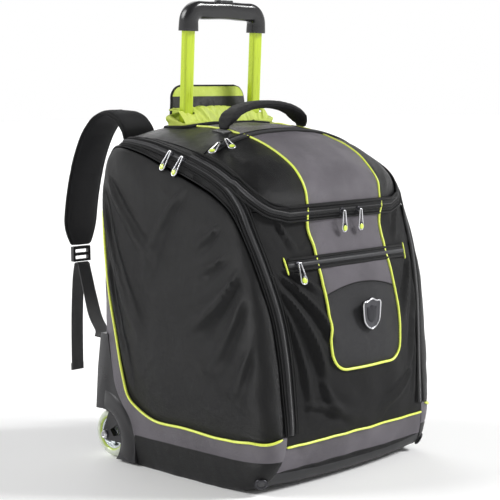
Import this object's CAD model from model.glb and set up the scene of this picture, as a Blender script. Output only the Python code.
"""The look of the skate bag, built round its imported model: cloth, zips, piping, straps, handle and wheels."""
import math

import bmesh
import bpy
from mathutils import Matrix, Vector, noise


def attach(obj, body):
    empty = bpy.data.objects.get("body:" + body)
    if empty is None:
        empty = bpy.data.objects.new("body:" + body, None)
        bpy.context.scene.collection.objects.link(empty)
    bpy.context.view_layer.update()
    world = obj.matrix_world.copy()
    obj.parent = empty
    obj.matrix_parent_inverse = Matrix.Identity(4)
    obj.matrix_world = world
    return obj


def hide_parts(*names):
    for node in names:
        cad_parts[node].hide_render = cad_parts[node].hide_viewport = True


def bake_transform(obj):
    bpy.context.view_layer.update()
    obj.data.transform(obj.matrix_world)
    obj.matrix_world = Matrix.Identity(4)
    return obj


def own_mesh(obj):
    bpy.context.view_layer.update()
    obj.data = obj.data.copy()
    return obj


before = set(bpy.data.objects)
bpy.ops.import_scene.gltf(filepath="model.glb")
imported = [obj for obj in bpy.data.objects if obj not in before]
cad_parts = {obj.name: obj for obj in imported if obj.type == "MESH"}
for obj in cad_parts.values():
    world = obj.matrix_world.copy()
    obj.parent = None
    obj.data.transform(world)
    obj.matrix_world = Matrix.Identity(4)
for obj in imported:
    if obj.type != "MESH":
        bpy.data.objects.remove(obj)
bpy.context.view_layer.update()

# ---------------------------------------------------------------- the bag's surface, as in the CAD
CENTRE_Y = 0.2390
SHELL = 0.005
LEAN = math.radians(4.0)
SIDE_X = 0.200
SIDE_BULGE = 0.006
SIDE_CENTRE = (0.185, 0.25)
STATIONS = (
    (0.325, 0.000, 0.318, 0.004, 0.187, 0.62, 1.0),
    (0.240, 0.000, 0.240, 0.000, 0.190, 0.67, 1.0),
    (0.140, 0.000, 0.140, 0.000, 0.190, 0.67, 1.0),
    (0.045, 0.000, 0.055, 0.003, 0.186, 0.69, 1.0),
    (0.005, 0.012, 0.014, 0.017, 0.175, 0.73, 1.0),
    (-0.012, 0.045, -0.006, 0.050, 0.162, 0.84, 1.0),
    (-0.022, 0.088, -0.012, 0.088, 0.156, 1.0, 1.0),
    (-0.034, 0.150, -0.008, 0.150, 0.157, 1.0, 1.0),
    (-0.037, 0.210, -0.003, 0.210, 0.160, 1.0, 1.0),
    (-0.028, 0.270, 0.004, 0.265, 0.166, 1.0, 1.0),
    (-0.008, 0.335, 0.022, 0.330, 0.177, 1.0, 0.9),
    (0.010, 0.385, 0.044, 0.380, 0.184, 1.0, 0.75),
    (0.006, 0.425, 0.068, 0.415, 0.187, 1.0, 0.6),
    (0.020, 0.463, 0.100, 0.436, 0.188, 1.0, 0.5),
    (0.062, 0.498, 0.130, 0.449, 0.188, 1.0, 0.5),
    (0.122, 0.522, 0.165, 0.462, 0.188, 1.0, 0.5),
    (0.190, 0.536, 0.210, 0.478, 0.188, 1.0, 0.5),
    (0.258, 0.539, 0.262, 0.496, 0.188, 1.0, 0.5),
    (0.322, 0.535, 0.314, 0.506, 0.186, 1.0, 0.6),
    (0.356, 0.515, 0.344, 0.496, 0.180, 1.0, 0.8),
    (0.367, 0.470, 0.357, 0.463, 0.180, 0.995, 1.0),
    (0.368, 0.400, 0.359, 0.400, 0.183, 0.97, 1.0),
    (0.364, 0.300, 0.357, 0.300, 0.186, 0.90, 1.0),
    (0.364, 0.200, 0.357, 0.200, 0.187, 0.78, 1.0),
    (0.367, 0.100, 0.359, 0.100, 0.187, 0.68, 1.0),
    (0.364, 0.030, 0.354, 0.030, 0.187, 0.62, 1.0),
)
TURN = len(STATIONS)
U_BASE_END = 4.55
U_LID_FRONT = 11.85
U_HINGE = 15.42
U_TOP_ZIP = 15.24
U_TOP_END = 18.25
U_BACK_END = 25.35
W_LID = 0.87
LID_CORNER_U = 1.6
LID_CORNER_W = 0.20
PIPING_X = 0.083
PATCH_HALF = 0.078
PATCH_BOTTOM = 0.176
LIME_WELL = (0.101, 0.2560, 0.3060)


def catmull(a, b, c, d, t):
    square, cube = 2 * a - 5 * b + 4 * c - d, 3 * b - a - 3 * c + d
    return 0.5 * (2 * b + (c - a) * t + square * t * t + cube * t ** 3)


def station(u):
    i = math.floor(u)
    return catmull(*(Vector(STATIONS[(i + k) % TURN]) for k in (-1, 0, 1, 2)), u - i)


def inward(y, z, depth):
    if not depth:
        return y, z
    away = Vector((y - SIDE_CENTRE[0], z - SIDE_CENTRE[1]))
    away *= 1 - depth / max(abs(away.x), abs(away.y))
    return away.x + SIDE_CENTRE[0], away.y + SIDE_CENTRE[1]


def strip_point(u, w, depth=0.0):
    """The part that wraps round front, top, back and base. w runs from -1 to 1 across it."""
    y0, z0, y1, z1, seam, _, power = station(u)
    rise = max(0.0, 1 - abs(w) ** 2.2) ** power
    y, z = inward(y1 + (y0 - y1) * rise, max(0.0, z1 + (z0 - z1) * rise), depth)
    near_seam = max(0.0, (abs(w) - 0.9) / 0.1)
    return Vector((w * (seam - depth * near_seam), y - CENTRE_Y, z))


def side_point(u, reach, side, depth=0.0):
    """A side. reach runs from 0 at its middle to 1 at the seam."""
    share = 1 - (1 - reach) ** 2
    _, _, y1, z1, seam, _, _ = station(u)
    y1, z1 = inward(y1, max(0.0, z1), depth)
    round_off = math.sqrt(max(0.0, 1 - share ** 10))
    x = seam + (SIDE_X - seam) * round_off + SIDE_BULGE * (1 - share * share) - depth
    y = SIDE_CENTRE[0] + (y1 - SIDE_CENTRE[0]) * share
    z = SIDE_CENTRE[1] + (z1 - SIDE_CENTRE[1]) * share
    return Vector((side * x, y - CENTRE_Y, z))


def door_reach(u):
    return 1 - math.sqrt(1 - min(1.0, station(u)[5]))


def lid_edge(u):
    corner = min(1.0, max(0.0, (u - U_LID_FRONT) / LID_CORNER_U))
    return W_LID - LID_CORNER_W * (1 - math.sqrt(1 - (1 - corner) ** 2))


def hinge_station(w):
    level = strip_point(U_HINGE, 0).y
    low, high = U_HINGE - 2, U_HINGE + 1
    for _ in range(24):
        middle = (low + high) / 2
        low, high = (middle, high) if strip_point(middle, w).y < level else (low, middle)
    return low


HINGE_TABLE = [hinge_station(k / 40) for k in range(41)]


def bend(u, w):
    """Shifts stations near the lid's hinge so that its line runs straight across."""
    nearness = max(0.0, 1 - abs(u - U_HINGE) / 1.9)
    if not nearness:
        return u
    place = min(1.0, abs(w)) * 40
    k = min(39, int(place))
    crossing = HINGE_TABLE[k] + (HINGE_TABLE[k + 1] - HINGE_TABLE[k]) * (place - k)
    return u + nearness * (crossing - U_HINGE)


def bent_station(w, y, low, high, turns):
    """The station between two others where the bent strip reaches y."""
    for _ in range(turns):
        middle = (low + high) / 2
        low, high = (middle, high) if strip_point(bend(middle, w), w).y < y else (low, middle)
    return low


def strip_normal(u, w):
    small = 0.01
    along = strip_point(u + small, w) - strip_point(u - small, w)
    across = strip_point(u, min(0.999, w + small)) - strip_point(u, max(-0.999, w - small))
    return across.cross(along).normalized()


def side_normal(u, reach, side):
    small = 0.01
    low, high = max(0.02, reach - small), min(0.995, reach + small)
    out = side_point(u, high, side) - side_point(u, low, side)
    along = side_point(u + small, reach, side) - side_point(u - small, reach, side)
    normal = out.cross(along).normalized()
    return normal if normal.x * side > 0 else -normal


def spread(low, high, count):
    return [low + (high - low) * i / (count - 1) for i in range(count)]


def smooth(low, high, value):
    t = min(1.0, max(0.0, (value - low) / (high - low)))
    return t * t * (3 - 2 * t)


def arc_table():
    """Length round the strip's centre line at each hundredth of a station."""
    total, table, before = 0.0, [0.0], strip_point(0, 0)
    for i in range(1, TURN * 50 + 1):
        here = strip_point(i / 50, 0)
        total += (here - before).length
        table.append(total)
        before = here
    return table


ARC = arc_table()


def arc(u):
    place = (u % TURN) * 50
    k = int(place)
    return ARC[k] + (ARC[min(k + 1, len(ARC) - 1)] - ARC[k]) * (place - k)


# ---------------------------------------------------------------- cloth relief
def fractal(point, size, octaves=3, seed=0.0):
    return noise.fractal(Vector(point) / size + Vector((seed, seed * 0.7, -seed)), 1.0, 2.0, octaves)


def creases(point, direction, length, width, seed=0.0):
    """Noise stretched along a direction, like soft folds that run that way."""
    direction = Vector(direction).normalized()
    along = point.dot(direction)
    rest = point - direction * along
    return noise.noise(rest / width + direction * (along / length) + Vector((seed, seed, seed)))


def fold(a, b, start, end, width, height, sway=0.0):
    """One soft crease from start to end on a plane: a ridge with a valley beside it, wider at its far end."""
    run_a, run_b = end[0] - start[0], end[1] - start[1]
    length = math.hypot(run_a, run_b)
    t = ((a - start[0]) * run_a + (b - start[1]) * run_b) / length ** 2
    if t < -0.15 or t > 1.15:
        return 0.0
    d = ((a - start[0]) * run_b - (b - start[1]) * run_a) / length
    d += sway * math.sin(math.pi * min(1.0, max(0.0, t)))
    size = width * (0.42 + 0.62 * min(1.0, max(0.0, t)))
    ends = smooth(-0.12, 0.16, t) * (1 - smooth(0.62, 1.12, t))
    d /= size
    valleys = 0.75 * math.exp(-(d - 1.5) ** 2) + 0.25 * math.exp(-(d + 1.7) ** 2)
    return height * ends * (math.exp(-d * d) - valleys)


def fan(point, centre, spokes, reach, seed=0.0):
    """Folds that radiate from a point."""
    away = point - Vector(centre)
    distance = away.length
    if distance < 1e-5:
        return 0.0
    away /= distance
    wave = noise.noise(away * spokes + Vector((seed, -seed, seed * 0.3)))
    return wave * smooth(0.0, 0.3, distance / reach) * (1 - smooth(0.35, 1.0, distance / reach))


# ---------------------------------------------------------------- materials
def socket(shader, name, value):
    shader.inputs[name].default_value = value


class Finish:
    """A small wrapper that builds one node material."""

    def __init__(self, name, roughness=0.8, metallic=0.0, **more):
        self.material = bpy.data.materials.new(name)
        self.material.use_nodes = True
        self.tree = self.material.node_tree
        self.shader = self.tree.nodes["Principled BSDF"]
        socket(self.shader, "Roughness", roughness)
        socket(self.shader, "Metallic", metallic)
        for key, value in more.items():
            socket(self.shader, key, value)
        self.bumps = []

    def node(self, kind, **values):
        made = self.tree.nodes.new(kind)
        for key, value in values.items():
            if key.startswith("i_"):
                made.inputs[key[2:].replace("_", " ")].default_value = value
            else:
                setattr(made, key, value)
        return made

    def link(self, source, target):
        self.tree.links.new(source, target)

    def coords(self, attribute=None):
        if attribute:
            return self.node("ShaderNodeAttribute", attribute_name=attribute).outputs["Vector"]
        return self.node("ShaderNodeTexCoord").outputs["Object"]

    def value(self, attribute):
        return self.node("ShaderNodeAttribute", attribute_name=attribute).outputs["Fac"]

    def noise(self, scale, detail=3.0, vector=None, stretch=None):
        made = self.node("ShaderNodeTexNoise", i_Scale=scale, i_Detail=detail)
        source = vector or self.coords()
        if stretch:
            mapping = self.node("ShaderNodeMapping")
            mapping.inputs["Scale"].default_value = stretch
            self.link(source, mapping.inputs["Vector"])
            source = mapping.outputs["Vector"]
        self.link(source, made.inputs["Vector"])
        return made.outputs["Fac"]

    def math(self, operation, a, b=0.0, clamp=False):
        made = self.node("ShaderNodeMath", operation=operation, use_clamp=clamp)
        for slot, given in zip(made.inputs, (a, b), strict=False):
            if isinstance(given, (int, float)):
                slot.default_value = given
            else:
                self.link(given, slot)
        return made.outputs["Value"]

    def ramp(self, source, low, high, out_low=0.0, out_high=1.0):
        made = self.node("ShaderNodeMapRange", clamp=True)
        self.link(source, made.inputs["Value"])
        for name, given in (("From Min", low), ("From Max", high), ("To Min", out_low), ("To Max", out_high)):
            made.inputs[name].default_value = given
        return made.outputs["Result"]

    def mix(self, share, a, b):
        made = self.node("ShaderNodeMix", data_type="RGBA")
        for slot, given in ((made.inputs[0], share), (made.inputs[6], a), (made.inputs[7], b)):
            if isinstance(given, (int, float)):
                slot.default_value = given
            elif isinstance(given, tuple):
                slot.default_value = (*given, 1.0)
            else:
                self.link(given, slot)
        return made.outputs[2]

    def colour(self, source):
        if isinstance(source, tuple):
            socket(self.shader, "Base Color", (*source, 1.0))
        else:
            self.link(source, self.shader.inputs["Base Color"])

    def rough(self, source):
        self.link(source, self.shader.inputs["Roughness"])

    def bump(self, height, distance, strength=1.0):
        made = self.node("ShaderNodeBump", i_Distance=distance, i_Strength=strength)
        self.link(height, made.inputs["Height"])
        if self.bumps:
            self.link(self.bumps[-1], made.inputs["Normal"])
        self.bumps.append(made.outputs["Normal"])

    def done(self):
        if self.bumps:
            self.link(self.bumps[-1], self.shader.inputs["Normal"])
        return self.material


def tone(colour, factor):
    return tuple(min(1.0, c * factor) for c in colour)


def net(finish, scale, low, high):
    """Holes of a knitted net, from 0 on its threads to 1 in its holes."""
    cells = finish.node("ShaderNodeTexVoronoi", i_Scale=1.0, feature="DISTANCE_TO_EDGE")
    mapping = finish.node("ShaderNodeMapping")
    mapping.inputs["Scale"].default_value = (scale, scale, scale)
    finish.link(finish.coords("cloth"), mapping.inputs["Vector"])
    finish.link(mapping.outputs["Vector"], cells.inputs["Vector"])
    return finish.ramp(cells.outputs["Distance"], low, high)


def cloth_place(finish):
    """The two coordinates of the cloth attribute, in metres."""
    split = finish.node("ShaderNodeSeparateXYZ")
    finish.link(finish.coords("cloth"), split.inputs["Vector"])
    return split.outputs["X"], split.outputs["Y"]


def waves(finish, source, pitch):
    return finish.math("SINE", finish.math("MULTIPLY", source, math.tau / pitch))


def weave(finish, pitch, twill=0.0):
    """Height of a plain or twill weave, from 0 to 1."""
    x, y = (finish.math("MULTIPLY", across, math.tau / pitch) for across in cloth_place(finish))
    if twill:
        diagonal = finish.math("ADD", x, finish.math("MULTIPLY", y, twill))
        ridge = finish.math("SINE", diagonal)
        thread = finish.math("MULTIPLY", finish.math("SINE", finish.math("MULTIPLY", y, 2.0)), 0.4)
        return finish.math("ADD", ridge, thread)
    return finish.math("MULTIPLY", finish.math("SINE", x), finish.math("SINE", y))


def cloth_finish(name, colour, pitch=0.0011, twill=1.0, relief=0.00022, roughness=0.38, sheen=0.01,
                 specks=0.3):
    """Woven cloth: threads in relief, uneven dye, dusty creases and a soft sheen."""
    made = Finish(name, roughness,
                  **{"Sheen Weight": sheen, "Sheen Roughness": 0.45, "Specular IOR Level": 0.28})
    threads = weave(made, pitch, twill=twill)
    dye = made.noise(9.0, 4.0)
    fine = made.noise(420.0, 2.0)
    base = made.mix(made.ramp(dye, 0.35, 0.68), tone(colour, 0.82), tone(colour, 1.22))
    base = made.mix(made.math("MULTIPLY", made.ramp(fine, 0.45, 0.75), specks), base, tone(colour, 1.75))
    made.colour(made.mix(made.ramp(threads, -1.0, 1.0, 0.0, 0.5), tone(colour, 0.55), base))
    made.rough(made.ramp(dye, 0.3, 0.7, roughness - 0.08, roughness + 0.08))
    made.bump(threads, relief, 0.6)
    made.bump(made.noise(150.0, 4.0), 0.0010, 0.5)
    return made


BLACK = (0.0050, 0.0050, 0.0057)
GREY = (0.118, 0.109, 0.123)
LIME = (0.47, 0.61, 0.015)
PIPE_LIME = (0.78, 0.88, 0.110)
CLOTH_LIME = (0.76, 0.92, 0.140)


def plain_cloths(made):
    """Cloths of one colour. made is the table of materials that each of these functions fills."""
    made["black"] = cloth_finish("black_cloth", BLACK).done()
    made["lining"] = cloth_finish("lining_cloth", (0.030, 0.030, 0.034), 0.0016, 0.0, 0.0001, 0.6).done()
    made["binding"] = cloth_finish("binding_cloth", (0.008, 0.008, 0.009), 0.0009, 0.0, 0.0004, 0.62).done()
    made["lime_cloth"] = cloth_finish("lime_cloth", CLOTH_LIME, 0.0012, 0.0, 0.00015, 0.45, 0.05, 0.1).done()


def zoned_cloths(made):
    """Two-coloured cloths: the attribute grey gives the distance inside the grey part, in metres."""
    for name in ("front", "lid", "band"):
        zoned = cloth_finish(f"{name}_cloth", BLACK)
        plain = zoned.shader.inputs["Base Color"].links[0].from_socket
        sheen = zoned.mix(zoned.ramp(zoned.noise(14.0, 3.0), 0.35, 0.7), tone(GREY, 0.84), tone(GREY, 1.18))
        mask = zoned.ramp(zoned.value("grey"), -0.0004, 0.0004)
        mixed = zoned.mix(mask, plain, sheen)
        if name == "front":
            rubber = zoned.ramp(zoned.value("patch"), -0.0004, 0.0004)
            mixed = zoned.mix(rubber, mixed, (0.014, 0.014, 0.016))
            zoned.rough(zoned.ramp(rubber, 0.0, 1.0, 0.72, 0.46))
            fine = zoned.noise(900.0, 2.0)
            zoned.bump(fine, 0.0004, 0.3)
        zoned.colour(mixed)
        made[name] = zoned.done()


def lime_finishes(made):
    """Glossy lime piping and the lime paint of the inner tubes."""
    pipe = Finish("lime_piping", 0.38, **{"Coat Weight": 0.25, "Coat Roughness": 0.3})
    grain = pipe.noise(260.0, 2.0)
    pipe.colour(pipe.mix(pipe.ramp(grain, 0.35, 0.7), tone(PIPE_LIME, 0.86), PIPE_LIME))
    pipe.bump(grain, 0.0003, 0.3)
    made["piping"] = pipe.done()

    paint = Finish("lime_paint", 0.32, 0.1, **{"Specular IOR Level": 0.6})
    streaks = paint.noise(60.0, 3.0, stretch=(6.0, 6.0, 0.15))
    paint.colour(paint.mix(paint.ramp(streaks, 0.3, 0.7), tone(LIME, 0.88), tone(LIME, 1.06)))
    paint.rough(paint.ramp(streaks, 0.3, 0.7, 0.26, 0.38))
    scuffs = paint.noise(900.0, 2.0)
    paint.bump(scuffs, 0.0001, 0.2)
    made["lime_tube"] = paint.done()


def moulded_plastics(made):
    """Fine-grained black plastics, paler where their edges wear."""
    for name, colour, roughness in (
        ("grip", (0.010, 0.010, 0.011), 0.22), ("plastic", (0.022, 0.022, 0.025), 0.42),
        ("housing", (0.0115, 0.0110, 0.0130), 0.30), ("buckle", (0.014, 0.014, 0.015), 0.35),
        ("base", (0.016, 0.016, 0.018), 0.6), ("button", (0.02, 0.02, 0.022), 0.3),
    ):
        moulded = Finish(f"{name}_plastic", roughness, **{"Specular IOR Level": 0.5})
        grain = moulded.noise(1400.0, 2.0)
        cloudy = moulded.noise(22.0, 3.0)
        worn = moulded.ramp(moulded.node("ShaderNodeNewGeometry").outputs["Pointiness"], 0.52, 0.60)
        tinted = moulded.mix(moulded.ramp(cloudy, 0.35, 0.7), tone(colour, 0.85), tone(colour, 1.25))
        moulded.colour(moulded.mix(moulded.math("MULTIPLY", worn, 0.35), tinted, tone(colour, 3.0)))
        moulded.rough(moulded.ramp(cloudy, 0.3, 0.75, roughness - 0.05, roughness + 0.1))
        moulded.bump(grain, 0.0002, 0.25)
        made[name] = moulded.done()


def metals(made):
    """Brushed metals."""
    for name, colour, roughness in (
        ("steel", (0.62, 0.62, 0.64), 0.22), ("badge", (0.085, 0.085, 0.092), 0.34),
        ("raw_tube", (0.60, 0.60, 0.62), 0.35), ("dark_metal", (0.05, 0.05, 0.055), 0.3),
    ):
        metal = Finish(f"{name}_metal", roughness, 1.0)
        brushed = metal.noise(300.0, 3.0, stretch=(1.0, 1.0, 0.08))
        metal.colour(metal.mix(metal.ramp(brushed, 0.3, 0.7), tone(colour, 0.8), tone(colour, 1.1)))
        metal.rough(metal.ramp(brushed, 0.3, 0.7, roughness, roughness + 0.14))
        metal.bump(metal.noise(1800.0, 2.0), 0.00008, 0.3)
        made[name] = metal.done()


def zip_finish(made):
    """Zip teeth along the middle of a woven tape, with two rows of stitches."""
    coil = Finish("zip_coil", 0.3, **{"Specular IOR Level": 0.35})
    along, across = cloth_place(coil)
    aside = coil.math("ABSOLUTE", across)
    teeth = waves(coil, along, 0.0016)
    tape = coil.ramp(aside, 0.0030, 0.0033)
    metal = coil.mix(coil.ramp(teeth, -0.3, 0.5), (0.002, 0.002, 0.002), (0.060, 0.060, 0.064))
    rows = coil.ramp(coil.math("ABSOLUTE", coil.math("SUBTRACT", aside, 0.0052)), 0.0002, 0.0005, 1.0, 0.0)
    dash = waves(coil, along, 0.0036)
    sewn = coil.math("MULTIPLY", rows, coil.ramp(dash, -0.3, 0.0))
    woven = coil.mix(sewn, (0.0035, 0.0035, 0.004), (0.040, 0.040, 0.044))
    coil.colour(coil.mix(tape, metal, woven))
    coil.rough(coil.ramp(tape, 0.0, 1.0, 0.34, 0.75))
    coil.bump(teeth, 0.0004, 0.6)
    made["coil"] = coil.done()


def webbings(made):
    """Ribbed black webbing, and the grey webbing of the shoulder pads."""
    web = Finish("webbing", 0.6, **{"Sheen Weight": 0.3})
    along, across = cloth_place(web)
    cord = web.math("MULTIPLY", waves(web, across, 0.0024), waves(web, along, 0.0013))
    web.colour(web.mix(web.ramp(cord, -1.0, 1.0), (0.010, 0.010, 0.011), (0.034, 0.034, 0.037)))
    web.bump(cord, 0.0004, 0.7)
    made["webbing"] = web.done()
    grey_web = Finish("grey_webbing", 0.55, **{"Sheen Weight": 0.3})
    ribs = waves(grey_web, cloth_place(grey_web)[0], 0.0015)
    grey_web.colour(grey_web.mix(grey_web.ramp(ribs, -1.0, 1.0), tone(GREY, 0.55), tone(GREY, 1.0)))
    grey_web.bump(ribs, 0.0004, 0.6)
    made["grey_webbing"] = grey_web.done()


def nets(made):
    """Spacer net, and the back cloth that has it on its pads."""
    mesh = Finish("air_mesh", 0.85, **{"Sheen Weight": 0.3})
    holes = net(mesh, 330.0, 0.05, 0.22)
    mesh.colour(mesh.mix(holes, (0.045, 0.045, 0.050), (0.008, 0.008, 0.009)))
    mesh.bump(holes, 0.0010, -0.6)
    made["air_mesh"] = mesh.done()

    back = cloth_finish("back_cloth_finish", BLACK)
    plain = back.shader.inputs["Base Color"].links[0].from_socket
    holes = net(back, 300.0, 0.05, 0.25)
    netting = back.mix(holes, (0.055, 0.055, 0.060), (0.010, 0.010, 0.011))
    inside = back.ramp(back.value("pad"), -0.0004, 0.0004)
    back.colour(back.mix(inside, plain, netting))
    back.bump(back.math("MULTIPLY", holes, inside), 0.0010, -0.6)
    made["back"] = back.done()


def trim_cloths(made):
    """Cloth of the straps, the well flap and the sewing thread."""
    made["strap"] = cloth_finish("strap_cloth", (0.016, 0.016, 0.018), 0.0010, 0.0, 0.0002, 0.7).done()

    flap = cloth_finish("flap_cloth", CLOTH_LIME, 0.0012, 0.0, 0.00015, 0.45, 0.05, 0.1)
    plain = flap.shader.inputs["Base Color"].links[0].from_socket
    height = cloth_place(flap)[1]
    above = flap.ramp(height, 0.5650, 0.5656)
    below = flap.ramp(height, 0.5842, 0.5836)
    flap.colour(flap.mix(flap.math("MULTIPLY", above, below), plain, (0.016, 0.016, 0.018)))
    made["flap"] = flap.done()

    thread = Finish("thread", 0.6)
    twist = thread.noise(2200.0, 1.0)
    thread.colour(thread.mix(twist, (0.02, 0.02, 0.022), (0.07, 0.07, 0.075)))
    made["thread"] = thread.done()


def wheel_finishes(made):
    """Clear tyres that turn lime at the hub, and silver hubs."""
    tyre = Finish("clear_tyre", 0.14, **{"Coat Weight": 0.3, "Transmission Weight": 0.25, "IOR": 1.45})
    cloudy = tyre.noise(80.0, 3.0)
    radius = tyre.value("lime")
    tinted = tyre.mix(tyre.ramp(cloudy, 0.3, 0.7), (0.66, 0.71, 0.60), (0.82, 0.86, 0.74))
    tyre.colour(tyre.mix(tyre.ramp(radius, 0.0, 1.0), tinted, (0.62, 0.80, 0.14)))
    tyre.rough(tyre.ramp(cloudy, 0.3, 0.7, 0.12, 0.24))
    made["tyre"] = tyre.done()

    hub = Finish("silver_hub", 0.22, 0.75)
    flecks = hub.noise(700.0, 2.0)
    hub.colour(hub.mix(hub.ramp(flecks, 0.3, 0.7), (0.62, 0.66, 0.67), (0.80, 0.84, 0.85)))
    hub.rough(hub.ramp(flecks, 0.3, 0.7, 0.18, 0.30))
    made["hub"] = hub.done()


def small_finishes(made):
    """The lime domes on the pulls and the studio floor."""
    disc = Finish("lime_dot", 0.3, **{"Coat Weight": 0.6})
    tint = disc.noise(500.0, 2.0)
    disc.colour(disc.mix(disc.ramp(tint, 0.3, 0.7), (0.52, 0.66, 0.05), (0.66, 0.80, 0.10)))
    made["dot"] = disc.done()

    floor = Finish("studio_floor", 0.9)
    speck = floor.noise(3.0, 2.0)
    floor.colour(floor.mix(speck, (0.93, 0.93, 0.93), (0.96, 0.96, 0.96)))
    made["floor"] = floor.done()


FINISH = {}
for add_finishes in (plain_cloths, zoned_cloths, lime_finishes, moulded_plastics, metals, zip_finish,
                     webbings, nets, trim_cloths, wheel_finishes, small_finishes):
    add_finishes(FINISH)


# ---------------------------------------------------------------- mesh helpers
def mesh_object(name, points, faces, finishes, cloth=None, values=None, indices=None, smooth_angle=None):
    """One mesh object. cloth is a vector attribute in metres for weaves; values are scalar attributes."""
    data = bpy.data.meshes.new(name)
    data.from_pydata([tuple(p) for p in points], [], faces)
    if cloth:
        made = data.attributes.new("cloth", "FLOAT_VECTOR", "POINT")
        made.data.foreach_set("vector", [c for triple in cloth for c in triple])
    for key, numbers in (values or {}).items():
        made = data.attributes.new(key, "FLOAT", "POINT")
        made.data.foreach_set("value", numbers)
    for finish in finishes:
        data.materials.append(FINISH[finish])
    if indices:
        data.polygons.foreach_set("material_index", indices)
    data.validate()
    holder = bmesh.new()
    holder.from_mesh(data)
    bmesh.ops.recalc_face_normals(holder, faces=holder.faces)
    holder.to_mesh(data)
    holder.free()
    data.shade_smooth()
    if smooth_angle:
        data.set_sharp_from_angle(angle=math.radians(smooth_angle))
    made = bpy.data.objects.new(name, data)
    bpy.context.scene.collection.objects.link(made)
    return made


def place(piece, body, slot=None, replaces=()):
    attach(piece, body)
    if replaces:
        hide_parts(*replaces)
    return piece


def shell(name, outer, inner, finishes, cloth, values=None):
    """A closed panel between two equal grids. finishes are for its outside and its inside."""
    rows, columns = len(outer), len(outer[0])
    points = [p for row in outer for p in row] + [p for row in inner for p in row]
    count = rows * columns
    faces, indices = [], []
    for i in range(rows - 1):
        for j in range(columns - 1):
            a = i * columns + j
            faces.append((a, a + 1, a + columns + 1, a + columns))
            faces.append((count + a, count + a + columns, count + a + columns + 1, count + a + 1))
            indices += [0, 1]
    rim = [(0, j) for j in range(columns)] + [(i, columns - 1) for i in range(1, rows)]
    rim += [(rows - 1, j) for j in range(columns - 2, -1, -1)] + [(i, 0) for i in range(rows - 2, 0, -1)]
    rim = [i * columns + j for i, j in rim]
    for a, b in zip(rim, rim[1:] + rim[:1], strict=True):
        faces.append((a, a + count, b + count, b))
        indices.append(0)
    flat = [c for row in cloth for c in row] * 2
    extra = {key: [v for row in grid for v in row] * 2 for key, grid in (values or {}).items()}
    return mesh_object(name, points, faces, finishes, flat, extra, indices, 50)


def panel(name, firsts, seconds, points_at, finishes):
    """A closed panel from a function that gives its outer point, its inner point and its cloth place."""
    cells = [[points_at(a, b) for b in seconds] for a in firsts]
    outer, inner, cloth = ([[cell[k] for cell in row] for row in cells] for k in range(3))
    return shell(name, outer, inner, finishes, cloth)


def loft(name, rings, finishes, closed=False, values=None, angle=None):
    """A skin over equally long rings. cloth runs along the rings' middles and round them."""
    count = len(rings[0])
    points, cloth = [], []
    distance = 0.0
    middle = None
    for ring in rings:
        here = sum(ring, Vector()) / count
        distance += (here - middle).length if middle else 0.0
        middle = here
        reach = 0.0
        half = sum((ring[(k + 1) % count] - ring[k]).length for k in range(count)) / 2
        for k, p in enumerate(ring):
            points.append(p)
            cloth.append((distance, reach - half, 0.0))
            reach += (ring[(k + 1) % count] - p).length
    faces = []
    pairs = len(rings) if closed else len(rings) - 1
    for i in range(pairs):
        a, b = i * count, ((i + 1) % len(rings)) * count
        for k in range(count):
            n = (k + 1) % count
            faces.append((a + k, a + n, b + n, b + k))
    if not closed:
        faces.append(tuple(reversed(range(count))))
        faces.append(tuple(range((len(rings) - 1) * count, len(rings) * count)))
    return mesh_object(name, points, faces, finishes, cloth, values, None, angle)


def superellipse(half_a, half_b, power=4.0, steps=20, start=0.5):
    points = []
    for i in range(steps):
        angle = math.tau * (i + start) / steps
        c, s = math.cos(angle), math.sin(angle)
        points.append((half_a * math.copysign(abs(c) ** (2 / power), c),
                       half_b * math.copysign(abs(s) ** (2 / power), s)))
    return points


def smooth_path(points, per_span=4):
    spots = [Vector(p) for p in points]
    spots = [2 * spots[0] - spots[1], *spots, 2 * spots[-1] - spots[-2]]
    made = []
    for i in range(1, len(spots) - 2):
        made += [catmull(*spots[i - 1:i + 3], k / per_span) for k in range(per_span)]
    made.append(spots[-2])
    return made


def resample(points, step, normals=None):
    """Even steps along a polyline, with normals carried along."""
    lengths = [0.0]
    for a, b in zip(points, points[1:], strict=False):
        lengths.append(lengths[-1] + (b - a).length)
    count = max(2, round(lengths[-1] / step) + 1)
    made, carried, k = [], [], 0
    for i in range(count):
        target = lengths[-1] * i / (count - 1)
        while k < len(lengths) - 2 and lengths[k + 1] < target:
            k += 1
        t = (target - lengths[k]) / max(1e-9, lengths[k + 1] - lengths[k])
        made.append(points[k].lerp(points[k + 1], t))
        if normals:
            carried.append(normals[k].lerp(normals[k + 1], t).normalized())
    return (made, carried) if normals else made


def frames(path, ups=None, across=None):
    """(point, across, up) at each point of a path."""
    made = []
    for i, spot in enumerate(path):
        along = (path[min(i + 1, len(path) - 1)] - path[max(i - 1, 0)]).normalized()
        if ups:
            up = (ups[i] - along * along.dot(ups[i])).normalized()
            made.append((spot, along.cross(up), up))
        else:
            first = (across - along * across.dot(along)).normalized()
            made.append((spot, first, along.cross(first)))
    return made


def tube(name, path, radius, finish, ups=None, sides=8, closed=False):
    """A round cord along a path, with rounded ends."""
    if not ups:
        across = Vector((0.31, 0.52, 0.79))
        placed = frames(path, across=across)
    else:
        placed = frames(path, ups)
    rings = []
    circle = [(math.cos(math.tau * k / sides), math.sin(math.tau * k / sides)) for k in range(sides)]
    for i, (spot, first, second) in enumerate(placed):
        size = radius
        if not closed and i in (0, len(placed) - 1):
            size = radius * 0.45
        rings.append([spot + first * (a * size) + second * (b * size) for a, b in circle])
    return loft(name, rings, [finish], closed=closed)


STITCHES = {}


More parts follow.
